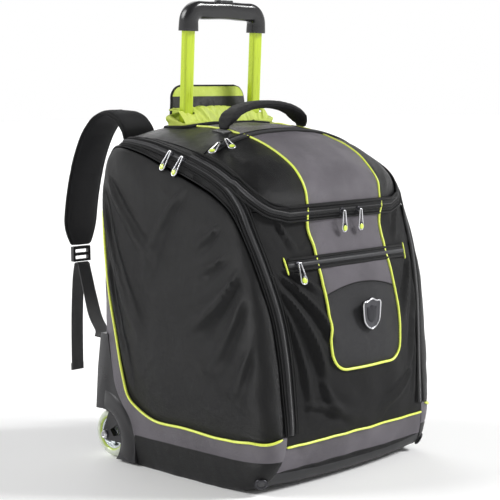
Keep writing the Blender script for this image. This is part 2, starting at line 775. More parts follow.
def stitch(body, path, ups, pitch=0.0042, length=0.0030, lift=0.0004):
    """Queues a run of stitches along a path."""
    spots, normals = resample(path, pitch, ups)
    for i in range(len(spots) - 1):
        along = (spots[i + 1] - spots[i]).normalized()
        STITCHES.setdefault(body, []).append((spots[i] + normals[i] * lift, along, normals[i], length))


def build_stitches():
    """Turns the queued stitches into one piece for each body."""
    for body, rows in STITCHES.items():
        points, faces = [], []
        for spot, along, up, length in rows:
            across = along.cross(up).normalized()
            start = len(points)
            reach, sink, half = along * length / 2, up * 0.0003, across * 0.00045
            points += [spot - reach - sink, spot + reach - sink, spot + half, spot + up * 0.00055,
                       spot - half, spot - up * 0.0004]
            for a, b in ((2, 3), (3, 4), (4, 5), (5, 2)):
                faces += [(start, start + b, start + a), (start + 1, start + a, start + b)]
        place(mesh_object(f"stitching_{body}", points, faces, ["thread"]), body)


def set_cloth(piece, rings, step, across):
    """Writes even cloth places on a loft: step apart along it, and across as given round each ring."""
    values = [c for i in range(rings) for a in across for c in (i * step, a, 0.0)]
    piece.data.attributes["cloth"].data.foreach_set("vector", values)


def zip_chain(name, path, ups, body, slot="zip_tape", replaces=(), tape=0.0085, coil=0.0029, height=0.0024):
    """A coil zip: a thin tape with interlocked teeth standing along its middle."""
    spots, normals = resample(path, 0.0008, ups)
    rings = []
    for i, (spot, across, up) in enumerate(frames(spots, normals)):
        tooth = 1.0 if i % 2 else 0.78
        lean = 0.0003 if i % 4 < 2 else -0.0003
        profile = (
            (-tape, 0.0), (-tape, 0.0005), (-coil - 0.0006, 0.0006), (-coil, height * 0.55 * tooth),
            (-coil * 0.45 + lean, height * tooth), (coil * 0.45 + lean, height * tooth),
            (coil, height * 0.55 * tooth), (coil + 0.0006, 0.0006), (tape, 0.0005), (tape, 0.0),
        )
        rings.append([spot + across * a + up * b for a, b in profile])
    made = loft(name, rings, ["coil"])
    half = (coil * 0.45, coil, coil + 0.0006, tape, tape)
    set_cloth(made, len(rings), 0.0008, [-a for a in reversed(half)] + list(half))
    return place(made, body, slot, replaces)


# ---------------------------------------------------------------- cloth panels
# Creases of the front, as (x, z) lines with a width, a height and a sideways bow.
FRONT_FOLDS = (
    ((-0.146, 0.322), (-0.060, 0.205), 0.0075, 0.0066, 0.008),
    ((-0.152, 0.305), (-0.084, 0.150), 0.0070, 0.0062, 0.010),
    ((-0.150, 0.280), (-0.112, 0.120), 0.0065, 0.0052, 0.004),
    ((-0.140, 0.332), (-0.078, 0.288), 0.0055, 0.0046, 0.003),
    ((-0.120, 0.130), (-0.020, 0.096), 0.0090, 0.0042, 0.006),
    ((-0.095, 0.165), (-0.050, 0.105), 0.0080, 0.0038, -0.004),
    ((0.146, 0.322), (0.098, 0.230), 0.0070, 0.0058, -0.006),
    ((0.152, 0.290), (0.118, 0.150), 0.0075, 0.0054, -0.004),
    ((0.140, 0.250), (0.128, 0.110), 0.0060, 0.0044, 0.003),
    ((0.125, 0.150), (0.040, 0.098), 0.0090, 0.0042, 0.004),
    ((-0.135, 0.405), (-0.110, 0.350), 0.0060, 0.0034, 0.0),
    ((0.140, 0.405), (0.112, 0.352), 0.0060, 0.0034, 0.0),
)


def relief_front(u, w, point):
    """How far the front's cloth stands off the CAD surface."""
    x, z = point.x, point.z
    rise = 0.0012 * (1 - abs(w) ** 6)
    patch = patch_distance(point)
    rise += 0.0012 * smooth(0.0, 0.006, patch) * smooth(0.155, 0.175, z)
    edge = smooth(0.0, 0.04, min(1 - abs(w), 0.3) * 0.16)
    folds = 0.0022 * creases(point, (0.55, 0, -0.83), 0.16, 0.028, 3.1) * edge
    for start, end, width, height, sway in FRONT_FOLDS:
        folds += edge * fold(x, z, start, end, width, height, sway)
    folds *= 1 - 0.65 * smooth(-0.01, 0.01, patch)
    folds += 0.0016 * fan(point, (math.copysign(0.135, x), -0.235, 0.345), 3.4, 0.16, 5.0 + (x > 0))
    folds += 0.0008 * fractal(point, 0.03, 3, 1.3)
    sag = 0.0022 * math.exp(-((z - 0.338) / 0.012) ** 2) * smooth(0.155, 0.12, abs(x))
    return rise + folds - sag


def patch_distance(point):
    """Distance inside the U-shaped centre patch of the front, in metres: positive inside."""
    half = PATCH_HALF + 0.006 * smooth(0.34, 0.43, point.z)
    x, z = abs(point.x), point.z
    corner = 0.030
    bottom = PATCH_BOTTOM
    if z > bottom + corner or x < half - corner:
        return min(half - x, z - bottom)
    return corner - math.hypot(x - (half - corner), z - (bottom + corner))


def band_line(x, height):
    """Height of a line of the front's lower band, which dips towards the bag's corners."""
    return height - 0.0025 * (x / 0.16) ** 2


def grey_front(point):
    """Distance inside the front's grey cloth: its upper centre and its lower band."""
    upper = min(patch_distance(point), point.z - patch_arch(point.x))
    lower = min(point.z - band_line(point.x, 0.037), band_line(point.x, 0.075) - point.z)
    return max(upper, lower)


def strip_shell(name, us, w_range, columns, relief, finishes, bent=False, values=None, depth=SHELL,
                warp=True):
    """A cloth panel on the wrap-round surface."""
    outer, inner, cloth = [], [], []
    grids = {key: [] for key in (values or {})}
    for u in us:
        low, high = w_range(u)
        shares = spread(-1, 1, columns)
        if warp:
            shares = [math.sin(math.pi / 2 * t) for t in shares]
        ws = [low + (high - low) * (1 + t) / 2 for t in shares]
        rows = [], [], []
        for w in ws:
            place_u = bend(u, w) if bent else u
            point = strip_point(place_u, w)
            normal = strip_normal(place_u, w)
            rows[0].append(point + normal * relief(u, w, point))
            rows[1].append(strip_point(place_u, w, depth))
            rows[2].append((arc(u), point.x, 0.0))
        outer.append(rows[0])
        inner.append(rows[1])
        cloth.append(rows[2])
        for key, function in (values or {}).items():
            grids[key].append([function(strip_point(bend(u, w) if bent else u, w)) for w in ws])
    return shell(name, outer, inner, finishes, cloth, grids)


def patch_arch(x, foot=0.287):
    """Height of the arch between the patch's grey top and its black foot."""
    return foot + 0.014 * (1 - (x / PATCH_HALF) ** 2)


def build_front():
    """The front panel with its centre patch."""
    edge = 0.997
    us = spread(U_BASE_END + 0.012, U_LID_FRONT - 0.012, 150)
    values = {"grey": grey_front, "patch": lambda p: min(patch_distance(p), patch_arch(p.x, 0.286) - p.z)}
    front = strip_shell("front_cloth", us, lambda u: (-edge, edge), 112, relief_front, ["front", "lining"],
                        values=values)
    place(front, "bag", "black_fabric", ["front_panel"])


def station_at(height, low, high, w=0.0):
    """The station between two others where the front or back reaches a height."""
    for _ in range(30):
        middle = (low + high) / 2
        low, high = (middle, high) if strip_point(middle, w).z < height else (low, middle)
    return (low + high) / 2


def on_front(line, lift=0.0015):
    """Points and normals on the front for (x, z) pairs."""
    points, normals = [], []
    for x, z in line:
        w = x / 0.165
        for _ in range(6):
            u = station_at(z, 4.5, 12.4, w)
            w = x / station(u)[4]
        normal = strip_normal(u, w)
        points.append(strip_point(u, w) + normal * (lift + relief_front(u, w, strip_point(u, w))))
        normals.append(normal)
    return points, normals


def patch_outline(inset=0.0, top=0.418):
    """The U line round the centre patch, from its upper left to its upper right."""
    half, corner, bottom = PATCH_HALF - inset, 0.030 - inset, PATCH_BOTTOM + inset
    line = [(-half - 0.006 * smooth(0.34, 0.43, z), z) for z in spread(top, bottom + corner + 0.004, 30)]
    for k in range(9):
        angle = math.pi + math.pi / 2 * k / 8
        line.append((-half + corner + corner * math.cos(angle), bottom + corner + corner * math.sin(angle)))
    line += [(x, bottom) for x in spread(-half + corner, 0.0, 8)[1:-1]]
    left = list(line)
    return left + [(0.0, bottom)] + [(-x, z) for x, z in reversed(left)]


def build_piping():
    """Lime piping on the front, the lid, the top and the sides."""
    points, ups = on_front(patch_outline(), 0.0014)
    place(tube("piping_patch", points, 0.0021, "piping", ups), "bag", "lime_lining")
    inner, ups = on_front(patch_outline(0.0045, 0.335), 0.0004)
    stitch("bag", inner, ups)
    low = [(x, band_line(x, 0.075)) for x in spread(-0.160, 0.160, 60)]
    points, ups = on_front(low, 0.0008)
    place(tube("piping_front_low", points, 0.0019, "piping", ups), "bag", "lime_lining")
    seam = [(x, band_line(x, 0.037)) for x in spread(-0.158, 0.158, 60)]
    points, ups = on_front(seam, 0.0002)
    place(tube("seam_front_low", points, 0.0010, "binding", ups), "bag")
    arch = [(x, patch_arch(x)) for x in spread(-0.075, 0.075, 40)]
    points, ups = on_front(arch, 0.0002)
    place(tube("seam_arch", points, 0.0009, "binding", ups), "bag")
    stitch("bag", *on_front([(x, z - 0.003) for x, z in arch], 0.0004))
    for side, tag in ((-1, "left"), (1, "right")):
        for name, low_u, high_u, body in (
            ("lid", U_LID_FRONT + 0.06, U_HINGE - 0.05, "lid"), ("top", U_HINGE + 0.05, 16.90, "bag"),
        ):
            points, ups = [], []
            for u in spread(low_u, high_u, 50):
                w = side * PIPING_X / 0.188
                at = bend(u, w)
                normal = strip_normal(at, w)
                ups.append(normal)
                relief = relief_lid if name == "lid" else relief_top
                points.append(strip_point(at, w) + normal * (0.0008 + relief(u, w, strip_point(at, w))))
            place(tube(f"piping_{name}_{tag}", points, 0.0019, "piping", ups), body, "lime_lining")
        points, ups = [], []
        for u in spread(20.85 - TURN, 5.95, 190):
            reach = min(0.998, door_reach(u))
            normal = side_normal(u, reach, side)
            points.append(side_point(u, reach, side) + normal * 0.0014)
            ups.append(normal)
        place(tube(f"piping_side_{tag}", points, 0.0021, "piping", ups), "bag", "lime_lining")
        # Dark binding along the seam between side and front, which opens with the flap.
        points, ups = [], []
        for u in spread(6.0, 20.4, 190):
            normal = (strip_normal(u, side * 0.99) + side_normal(u, 0.97, side)).normalized()
            points.append(strip_point(u, side * 0.999) + normal * 0.0012)
            ups.append(normal)
        place(tube(f"binding_side_{tag}", points, 0.0018, "binding", ups), f"side_flap_{tag}")


def relief_lid(u, w, point):
    along = smooth(U_LID_FRONT, U_LID_FRONT + 0.8, u)
    across = smooth(0.0, 0.12, lid_edge(u) - abs(w))
    puff = 0.0022 * min(along, across)
    folds = 0.0013 * creases(point, (0.25, -0.9, -0.3), 0.10, 0.030, 7.7)
    folds += 0.0012 * fractal(point, 0.055, 3, 2.2)
    folds += 0.0014 * fan(point, (math.copysign(0.09, w), -0.22, 0.41), 3.0, 0.14, 2.0)
    line = 0.0009 * math.exp(-((abs(point.x) - PIPING_X) / 0.003) ** 2)
    return puff + folds * min(1.0, along + 0.2) * (0.3 + 0.7 * across) - line


def relief_top(u, w, point):
    folds = 0.0012 * fractal(point, 0.045, 3, 6.1) + 0.0008 * creases(point, (1, 0.2, 0), 0.1, 0.02, 9.0)
    return 0.0008 + folds


def relief_gusset(u, w, point):
    return 0.0005 + 0.0007 * fractal(point, 0.04, 3, 8.8)


def lid_rows(count):
    return spread(U_LID_FRONT + 0.04, U_HINGE - 0.012, count)


def build_top():
    """Lid, top strip and the gussets beside them."""
    lid = strip_shell("lid_cloth", lid_rows(90), lambda u: (-lid_edge(u), lid_edge(u)), 96, relief_lid,
                      ["lid", "lining"], bent=True, values={"grey": lambda p: PIPING_X - abs(p.x)})
    place(lid, "lid", "lid_fabric", ["lid"])

    half, low_y, high_y = LIME_WELL[0], LIME_WELL[1] - CENTRE_Y, LIME_WELL[2] - CENTRE_Y
    us = spread(U_HINGE + 0.012, U_TOP_END - 0.012, 80)
    top = strip_shell("top_cloth", us, lambda u: (-W_LID, W_LID), 96, relief_top, ["lid", "lining"],
                      bent=True, values={"grey": lambda p: min(PIPING_X - abs(p.x), 0.245 - CENTRE_Y - p.y)})
    well = mesh_object("well_hole", *prism_data(
        [(-half, low_y), (half, low_y), (half, high_y), (-half, high_y)], 0.45, 0.62), ["binding"])
    apply_boolean(top, well, "DIFFERENCE")
    place(top, "bag", "black_fabric", ["top_strip"])

    for side, tag in ((-1, "left"), (1, "right")):
        def edges(u, side=side):
            low = lid_edge(u) + 0.012 if u < U_LID_FRONT + LID_CORNER_U else W_LID + 0.006
            return (side * low, side * 0.997)
        rows = [*lid_rows(70), *spread(U_HINGE + 0.012, U_TOP_END - 0.012, 50)]
        gusset = strip_shell(f"gusset_cloth_{tag}", rows, edges, 14, relief_gusset, ["black", "lining"],
                             bent=True)
        place(gusset, "bag", "black_fabric", [f"gusset_{tag}"])


def prism_data(outline, low, high):
    count = len(outline)
    points = [(x, y, low) for x, y in outline] + [(x, y, high) for x, y in outline]
    faces = [tuple(reversed(range(count))), tuple(range(count, 2 * count))]
    faces += [(k, (k + 1) % count, count + (k + 1) % count, count + k) for k in range(count)]
    return points, faces


def apply_boolean(target, tool, operation):
    modifier = target.modifiers.new("shape", "BOOLEAN")
    modifier.operation = operation
    modifier.object = tool
    modifier.solver = "EXACT"
    settle(target)
    bpy.data.objects.remove(tool)


def settle(target):
    """Makes an object's modifiers part of its mesh."""
    graph = bpy.context.evaluated_depsgraph_get()
    graph.update()
    data = bpy.data.meshes.new_from_object(target.evaluated_get(graph))
    target.modifiers.clear()
    target.data = data


# Creases of a side, as (y, z) lines in the bag's own frame, pulling at its back corner and its front zip.
SIDE_FOLDS = (
    ((0.345, 0.430), (0.262, 0.215), 0.0100, 0.0064, 0.012),
    ((0.338, 0.330), (0.285, 0.130), 0.0090, 0.0056, 0.008),
    ((0.330, 0.450), (0.222, 0.330), 0.0100, 0.0046, 0.006),
    ((0.350, 0.250), (0.322, 0.110), 0.0070, 0.0040, 0.004),
    ((0.044, 0.325), (0.150, 0.235), 0.0120, 0.0072, -0.012),
    ((0.034, 0.290), (0.110, 0.170), 0.0110, 0.0046, -0.008),
    ((0.062, 0.352), (0.120, 0.325), 0.0080, 0.0042, -0.003),
    ((0.080, 0.392), (0.130, 0.362), 0.0080, 0.0040, -0.002),
    ((0.022, 0.215), (0.060, 0.120), 0.0100, 0.0034, 0.0),
    ((0.160, 0.440), (0.250, 0.300), 0.0120, 0.0044, 0.010),
)


def relief_side(point, share, side):
    local = Vector((0.0, point.y + CENTRE_Y, point.z))
    rim = smooth(0.0, 0.10, 1 - share)
    rise = 0.0020 * rim - 0.0012
    folds = 0.0
    for start, end, width, height, sway in SIDE_FOLDS:
        folds += fold(local.y, local.z, start, end, width, height, sway)
    at_front, at_back = smooth(0.24, 0.05, local.y), smooth(0.13, 0.28, local.y)
    folds += 0.0030 * creases(local, (0, -0.80, -0.60), 0.22, 0.040, 12.0 + side) * at_front
    folds += 0.0030 * creases(local, (0, 0.25, 1.0), 0.30, 0.050, 15.0 + side) * at_back
    folds += 0.0014 * fractal(local, 0.05, 3, 6.0)
    return rise + folds * smooth(0.0, 0.14, 1 - share)


def build_sides():
    """Each side is one cloth that bends where its flap folds, inside a fixed band."""
    rings, count = 56, 208
    for side, tag in ((-1, "left"), (1, "right")):
        layers = []
        for inner in (False, True):
            grid = []
            for k in range(1, rings + 1):
                row = []
                for i in range(count):
                    u = TURN * i / count
                    reach = (k / rings) * (door_reach(u) - 0.004)
                    point = side_point(u, reach, side, SHELL if inner else 0.0)
                    if not inner:
                        point += side_normal(u, reach, side) * relief_side(point, k / rings, side)
                    row.append(point)
                grid.append(row)
            tip = side_point(0, 0, side, SHELL if inner else 0.0)
            if not inner:
                tip += Vector((side, 0, 0)) * relief_side(tip, 0.0, side)
            layers.append((tip, grid))
        points, faces, indices, cloth = [], [], [], []
        for layer, (tip, grid) in enumerate(layers):
            base = len(points)
            points.append(tip)
            points += [p for row in grid for p in row]
            for i in range(count):
                j = (i + 1) % count
                faces.append((base, base + 1 + i, base + 1 + j))
                indices.append(layer)
                for k in range(rings - 1):
                    a, b = base + 1 + k * count, base + 1 + (k + 1) * count
                    faces.append((a + i, b + i, b + j, a + j))
                    indices.append(layer)
        size = 1 + rings * count
        last = 1 + (rings - 1) * count
        for i in range(count):
            j = (i + 1) % count
            faces.append((last + i, size + last + i, size + last + j, last + j))
            indices.append(0)
        cloth = [(p[1], p[2], 0.0) for p in points]
        skin = mesh_object(f"side_cloth_{tag}", points, faces, ["black", "lining"], cloth, None, indices, 60)
        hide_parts(f"side_panel_{tag}", f"side_flap_{tag}")
        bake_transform(skin)

        us = spread(-5.0, 6.0, 200)
        outer, inner, cloth, grey = [], [], [], []
        for u in us:
            low = min(0.9985, door_reach(u) + 0.003)
            reaches = spread(low, 0.9995, 22)
            outer.append([side_point(u, r, side) + side_normal(u, r, side) * relief_band(u, r, side)
                          for r in reaches])
            inner.append([side_point(u, r, side, SHELL) for r in reaches])
            cloth.append([(p.y, p.z, 0.0) for p in outer[-1]])
            grey.append([p.z - 0.052 for p in outer[-1]])
        band = shell(f"band_cloth_{tag}", outer, inner, ["band", "lining"], cloth, {"grey": grey})
        cut_wells(band, side)
        place(band, "bag", "black_fabric", [f"side_band_{tag}"])


def relief_band(u, reach, side):
    point = side_point(u, reach, side)
    seam = 0.0007 * math.exp(-((point.z - 0.052) / 0.0018) ** 2)
    return 0.0007 + 0.0008 * fractal(point, 0.03, 3, 3.3) - seam


# ---------------------------------------------------------------- housings and wheels
def housing_outline(grow=0.0):
    points = smooth_path([(*p, 0.0) for p in (
        (0.282, 0.004), (0.280, 0.040), (0.289, 0.076), (0.311, 0.103), (0.328, 0.132), (0.336, 0.170),
        (0.342, 0.206),
    )], 6)
    outline = [(p.x, p.y) for p in points]
    outline += [(p.x, p.y) for p in smooth_path([(*q, 0.0) for q in (
        (0.360, 0.207), (0.370, 0.150), (0.377, 0.084), (0.384, 0.040), (0.372, 0.004))], 4)]
    middle = Vector((0.335, 0.075))
    grown = []
    for y, z in outline:
        away = Vector((y, z)) - middle
        grown.append(tuple(middle + away * (1 + grow / away.length)))
    return grown


def x_prism(name, outline, low, high, finish="housing"):
    count = len(outline)
    points = [(low, y - CENTRE_Y, z) for y, z in outline] + [(high, y - CENTRE_Y, z) for y, z in outline]
    faces = [tuple(reversed(range(count))), tuple(range(count, 2 * count))]
    faces += [(k, (k + 1) % count, count + (k + 1) % count, count + k) for k in range(count)]
    return mesh_object(name, points, faces, [finish])


def cut_wells(target, side):
    low, high = sorted((side * 0.1515, side * 0.230))
    apply_boolean(target, x_prism("well", housing_outline(0.0007), low, high), "DIFFERENCE")


def build_back_and_base():
    """The padded back and the plastic-coated base."""
    def relief_back(u, w, point):
        x, z = abs(point.x), point.z
        pad = smooth(0.018, 0.030, x) * smooth(0.142, 0.128, x)
        pad *= smooth(0.10, 0.125, z) * smooth(0.475, 0.455, z)
        channel = math.exp(-((z - 0.215) / 0.006) ** 2) + math.exp(-((z - 0.345) / 0.006) ** 2)
        return 0.0090 * pad * (1 - 0.75 * min(1.0, channel)) + 0.0007 * fractal(point, 0.03, 3, 5.5)

    def mesh_share(point):
        x, z = abs(point.x), point.z
        return min(x - 0.018, 0.142 - x, z - 0.10, 0.475 - z)

    rows = spread(U_TOP_END + 0.012, U_BACK_END - 0.012, 130)
    back = strip_shell("back_cloth", rows, lambda u: (-0.991, 0.991), 100, relief_back, ["back", "lining"],
                       values={"pad": mesh_share}, warp=False)
    for side in (-1, 1):
        cut_wells(back, side)
    place(back, "bag", "back_padding", ["back_panel"])

    rows = [*spread(U_BACK_END - TURN + 0.012, 1.0, 16), *spread(1.2, U_BASE_END - 0.012, 40)]
    base = strip_shell("base_cloth", rows, lambda u: (-0.992, 0.992), 40, lambda u, w, point: 0.0,
                       ["base", "lining"], depth=0.004)
    for side in (-1, 1):
        cut_wells(base, side)
    place(base, "bag", "base_plastic", ["base_tray"])


def build_housings():
    """The corner guards keep their CAD shape, with softened edges; a swollen fender and a rim lie on them."""
    outline = housing_outline()
    centre = Vector((0.362, 0.036))

    def reach(angle):
        """Distance from the window's middle to the housing's front edge."""
        far = 0.050
        for y, z in outline:
            away = Vector((y, z)) - centre
            if abs(math.atan2(away.y, -away.x) - angle) < 0.06 and y < 0.345:
                far = max(far, away.length)
        return far

    for side, tag in ((-1, "left"), (1, "right")):
        dress(f"wheel_housing_{tag}", "housing", 0.0012, 3)
        rings = []
        for angle in spread(math.radians(-30), math.radians(84), 60):
            low, high = 0.0475, min(0.082, reach(angle)) - 0.0030
            share = (angle + 0.523) / 1.99
            height = 0.0046 * max(0.0, math.sin(math.pi * share)) ** 0.6
            ring = []
            for t in spread(0.0, 1.0, 15):
                r = low + (high - low) * t
                swell = height * max(0.0, 1 - (2 * t - 1) ** 2) ** 0.7
                ring.append((side * (0.2003 + swell), r))
            ring += [(side * 0.1990, high), (side * 0.1990, low)]
            y, z = -math.cos(angle), math.sin(angle)
            rings.append([Vector((x, centre.x - CENTRE_Y + r * y, centre.y + r * z)) for x, r in ring])
        place(loft(f"fender_{tag}", rings, ["housing"], angle=40), "bag", "housing_plastic")
        edge = [Vector((side * 0.2003, y - CENTRE_Y + 0.0012, z)) for y, z in outline[1:37]]
        place(tube(f"fender_edge_{tag}", edge, 0.0010, "housing"), "bag", "housing_plastic")


def dress(node, finish, bevel=0.0, segments=2, angle=32):
    """Gives a carried CAD node its material and softens its edges."""
    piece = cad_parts[node]
    piece.data.materials.clear()
    piece.data.materials.append(FINISH[finish])
    if bevel:
        weld = piece.modifiers.new("weld", "WELD")
        weld.merge_threshold = 0.00001
        edge = piece.modifiers.new("edge", "BEVEL")
        edge.width = bevel
        edge.segments = segments
        edge.limit_method = "ANGLE"
        edge.angle_limit = math.radians(angle)
        edge.use_clamp_overlap = True
        edge.harden_normals = True
        for face in piece.data.polygons:
            face.use_smooth = True
    return piece


def turned(name, profile, finish, centre, steps=96, values=None, angle=35):
    """A closed (x, radius) profile turned about an axis along x."""
    rings = []
    for i in range(steps):
        c, s = math.cos(math.tau * i / steps), math.sin(math.tau * i / steps)
        rings.append([Vector(centre) + Vector((x, r * c, r * s)) for x, r in profile])
    return loft(name, rings, [finish], closed=True, values=values, angle=angle)


WHEEL_Y = 0.355 - CENTRE_Y
WHEEL_R = 0.040
WHEEL_X = 0.1775
HUB_R = 0.026


def build_wheels():
    """Clear tyres, spoked hubs, bearings and axle bolts."""
    for side, tag in ((-1, "left"), (1, "right")):
        centre = (side * WHEEL_X, WHEEL_Y, WHEEL_R)
        half = 0.012
        profile = [(-half + 0.0030, HUB_R + 0.0002), (-half + 0.0012, 0.0275), (-half + 0.0002, 0.0300),
                   (-half, 0.0325), (-half + 0.0008, 0.0350), (-half + 0.0030, 0.0374),
                   (-half + 0.0065, 0.0393), (-half + 0.0095, 0.03985), (0.0, WHEEL_R)]
        profile += [(-x, r) for x, r in reversed(profile[:-1])]
        lime = [smooth(0.0296, 0.0272, r) for _ in range(96) for _, r in profile]
        place(turned(f"tyre_skin_{tag}", profile, "tyre", centre, values={"lime": lime}),
              f"wheel_{tag}", "tyre_urethane", [f"tyre_{tag}"])
        face = 0.0088
        hub_profile = [(-face, 0.0113), (-face - 0.0008, 0.0120), (-face - 0.0008, 0.0140), (-face, 0.0148),
                       (-0.0052, 0.0156), (-0.0046, 0.0170), (-0.0050, 0.0212), (-0.0060, 0.0222),
                       (-face, 0.0230), (-face - 0.0004, 0.0240), (-face, 0.0258)]
        hub_profile += [(-x, r) for x, r in reversed(hub_profile)]
        hub = turned(f"hub_skin_{tag}", hub_profile, "hub", centre)
        for k in range(6):
            angle = math.tau * k / 6 + 0.3
            outline = []
            for r, aside in ((0.0155, -0.10), (0.0155, 0.10), (0.0213, 0.36), (0.0222, 0.20), (0.0224, 0.0),
                             (0.0222, -0.20), (0.0213, -0.36)):
                outline.append((WHEEL_Y + CENTRE_Y + r * math.cos(angle + aside),
                                WHEEL_R + r * math.sin(angle + aside)))
            low, high = sorted((side * (WHEEL_X - 0.02), side * (WHEEL_X + 0.02)))
            apply_boolean(hub, x_prism("opening", outline, low, high), "DIFFERENCE")
        place(hub, f"wheel_{tag}", "hub_plastic", [f"wheel_hub_{tag}"])
        races = [(-0.0086, 0.0043), (-0.0086, 0.0058), (-0.0078, 0.0060), (-0.0078, 0.0088),
                 (-0.0086, 0.0090), (-0.0086, 0.0110)]
        races += [(-x, r) for x, r in reversed(races)]
        place(turned(f"bearing_skin_{tag}", races, "steel", centre, 64), f"wheel_{tag}", "bearing_steel",
              [f"wheel_bearing_{tag}"])
        bolt = [(side * x, r) for x, r in (
            (-0.0250, 0.0), (-0.0250, 0.0036), (-0.0246, 0.0040), (0.0233, 0.0040), (0.0233, 0.0066),
            (0.0240, 0.0069), (0.0262, 0.0067), (0.0275, 0.0056), (0.0275, 0.0))]
        head = turned(f"bolt_skin_{tag}", bolt, "steel", centre, 48)
        hexagon = [(0.355 + 0.0030 * math.cos(t), WHEEL_R + 0.0030 * math.sin(t))
                   for t in (math.tau * k / 6 for k in range(6))]
        low, high = sorted((side * (WHEEL_X + 0.0250), side * (WHEEL_X + 0.04)))
        apply_boolean(head, x_prism("key", hexagon, low, high), "DIFFERENCE")
        place(head, "bag", "axle_steel", [f"axle_{tag}"])


# ---------------------------------------------------------------- trolley handle
TUBE_X = 0.0758
TUBE_FOOT = Vector((0.0, 0.285 - CENTRE_Y, 0.530))
TILT = Matrix.Rotation(LEAN, 3, "X")


def leaning(point):
    return TUBE_FOOT + TILT @ Vector(point)


def bow(section_of, leg_bottom, bar_height, corner, arc_steps=12, leg_steps=6, bar_steps=16):
    """Rings of the grip's bow over both tubes. section_of gives the section's outline at (x, z)."""
    spots = [(-TUBE_X, z) for z in spread(leg_bottom, bar_height - corner, leg_steps)]
    for k in range(1, arc_steps + 1):
        angle = math.pi - k * math.pi / 2 / arc_steps
        spots.append((-TUBE_X + corner * (1 + math.cos(angle)), bar_height - corner * (1 - math.sin(angle))))
    start = spots[-1]
    for k in range(1, bar_steps):
        x = start[0] * (1 - k / bar_steps)
        spots.append((x, bar_height + 0.002 * smooth(start[0], 0.0, x)))
    spots.append((0.0, bar_height + 0.002))
    spots += [(-x, z) for x, z in reversed(spots[:-1])]
    rings = []
    for i, (x, z) in enumerate(spots):
        before, after = Vector(spots[max(i - 1, 0)]), Vector(spots[min(i + 1, len(spots) - 1)])
        along = (after - before).normalized()
        first = Vector((along.y, 0, -along.x))
        rings.append([leaning(Vector((x, 0, z)) + first * a + Vector((0, 1, 0)) * b)
                      for a, b in section_of(x, z)])
    return rings


def build_trolley():
    """Tubes, grip, thumb button and the cloth that covers the tubes inside."""
    for side, tag in ((-1, "left"), (1, "right")):
        for name, size, span, finish, body, power in (
            (f"inner_tube_{tag}", (0.0200, 0.0140), (-0.330, 0.169), "lime_tube", "trolley_handle", 5.0),
            (f"outer_tube_{tag}", (0.0230, 0.0170), (-0.488, -0.028), "raw_tube", "bag", 6.0),
        ):
            outer = superellipse(size[0] / 2, size[1] / 2, power, 40)
            inner = [(a * 0.88, b * 0.84) for a, b in outer]
            low, high = span
            rings = []
            for section, z in ((outer, low), (outer, high), (inner, high), (inner, low)):
                rings.append([leaning((a + side * TUBE_X, b, z)) for a, b in section])
            piece = loft(name + "_skin", rings, [finish], closed=True, angle=40)
            place(piece, body, finish, [name])

    def outside(x, z):
        middle = max(0.0, math.cos(x / TUBE_X * math.pi / 2))
        flare = 1.0 + 0.04 * smooth(0.176, 0.160, z) * (abs(x) > 0.07)
        points = []
        for a, b in superellipse(0.0150 * flare, 0.0130 * flare, 2.7, 48):
            groove = 1.0 - 0.04 * math.exp(-(b / 0.0006) ** 2)
            belly = 1.0 + (0.06 * middle if a > 0 else -0.14 * middle)
            points.append((a * groove * belly, b * (1 - 0.05 * middle)))
        return points

    def inside(x, z):
        return [(a, b) for a, b in superellipse(0.0106, 0.0076, 5.0, 48)]

    rings = bow(outside, 0.158, 0.192, 0.020) + bow(inside, 0.158, 0.192, 0.020)[::-1]
    grip = loft("grip_skin", rings, ["grip"], closed=True, angle=50)
    slot_outline = superellipse(0.0186, 0.0076, 4.0, 32)
    tool = loft("slot", [[leaning((a, b, z)) for a, b in slot_outline] for z in (0.190, 0.235)], ["grip"])
    apply_boolean(grip, tool, "DIFFERENCE")
    place(grip, "trolley_handle", "grip_plastic", ["grip"])

    # A softly crowned thumb button with three ribs.
    rings = []
    for z, grow in ((0.1985, 1.0), (0.2066, 1.0), (0.2084, 0.985), (0.2091, 0.93), (0.2093, 0.80)):
        rings.append([leaning((a * grow, b * grow, z)) for a, b in superellipse(0.0178, 0.0068, 4.0, 40)])
    button = loft("release_button_skin", rings, ["button"], angle=40)
    place(button, "release_button", "button_plastic", ["release_button"])
    for k in (-1, 0, 1):
        path = [leaning((k * 0.005, y, 0.2094)) for y in spread(-0.0045, 0.0045, 8)]
        place(tube(f"button_rib_{k + 1}", path, 0.0007, "button"), "release_button")
    dress("release_yoke", "steel")
    dress("trolley_frame", "plastic", 0.0010, 2)

    def cover_at(x, z):
        wave = 0.0007 * fractal((x, 0, z), 0.05, 3, 4.4)
        return leaning((x, -0.0180 + wave, z)), leaning((x, -0.0160 + wave, z)), (x, z, 0.0)

    cover = panel("tube_cover_cloth", spread(-0.120, 0.120, 30), spread(-0.490, -0.030, 60), cover_at,
                  ["lining", "lining"])
    place(cover, "bag", "lining", ["tube_cover"])


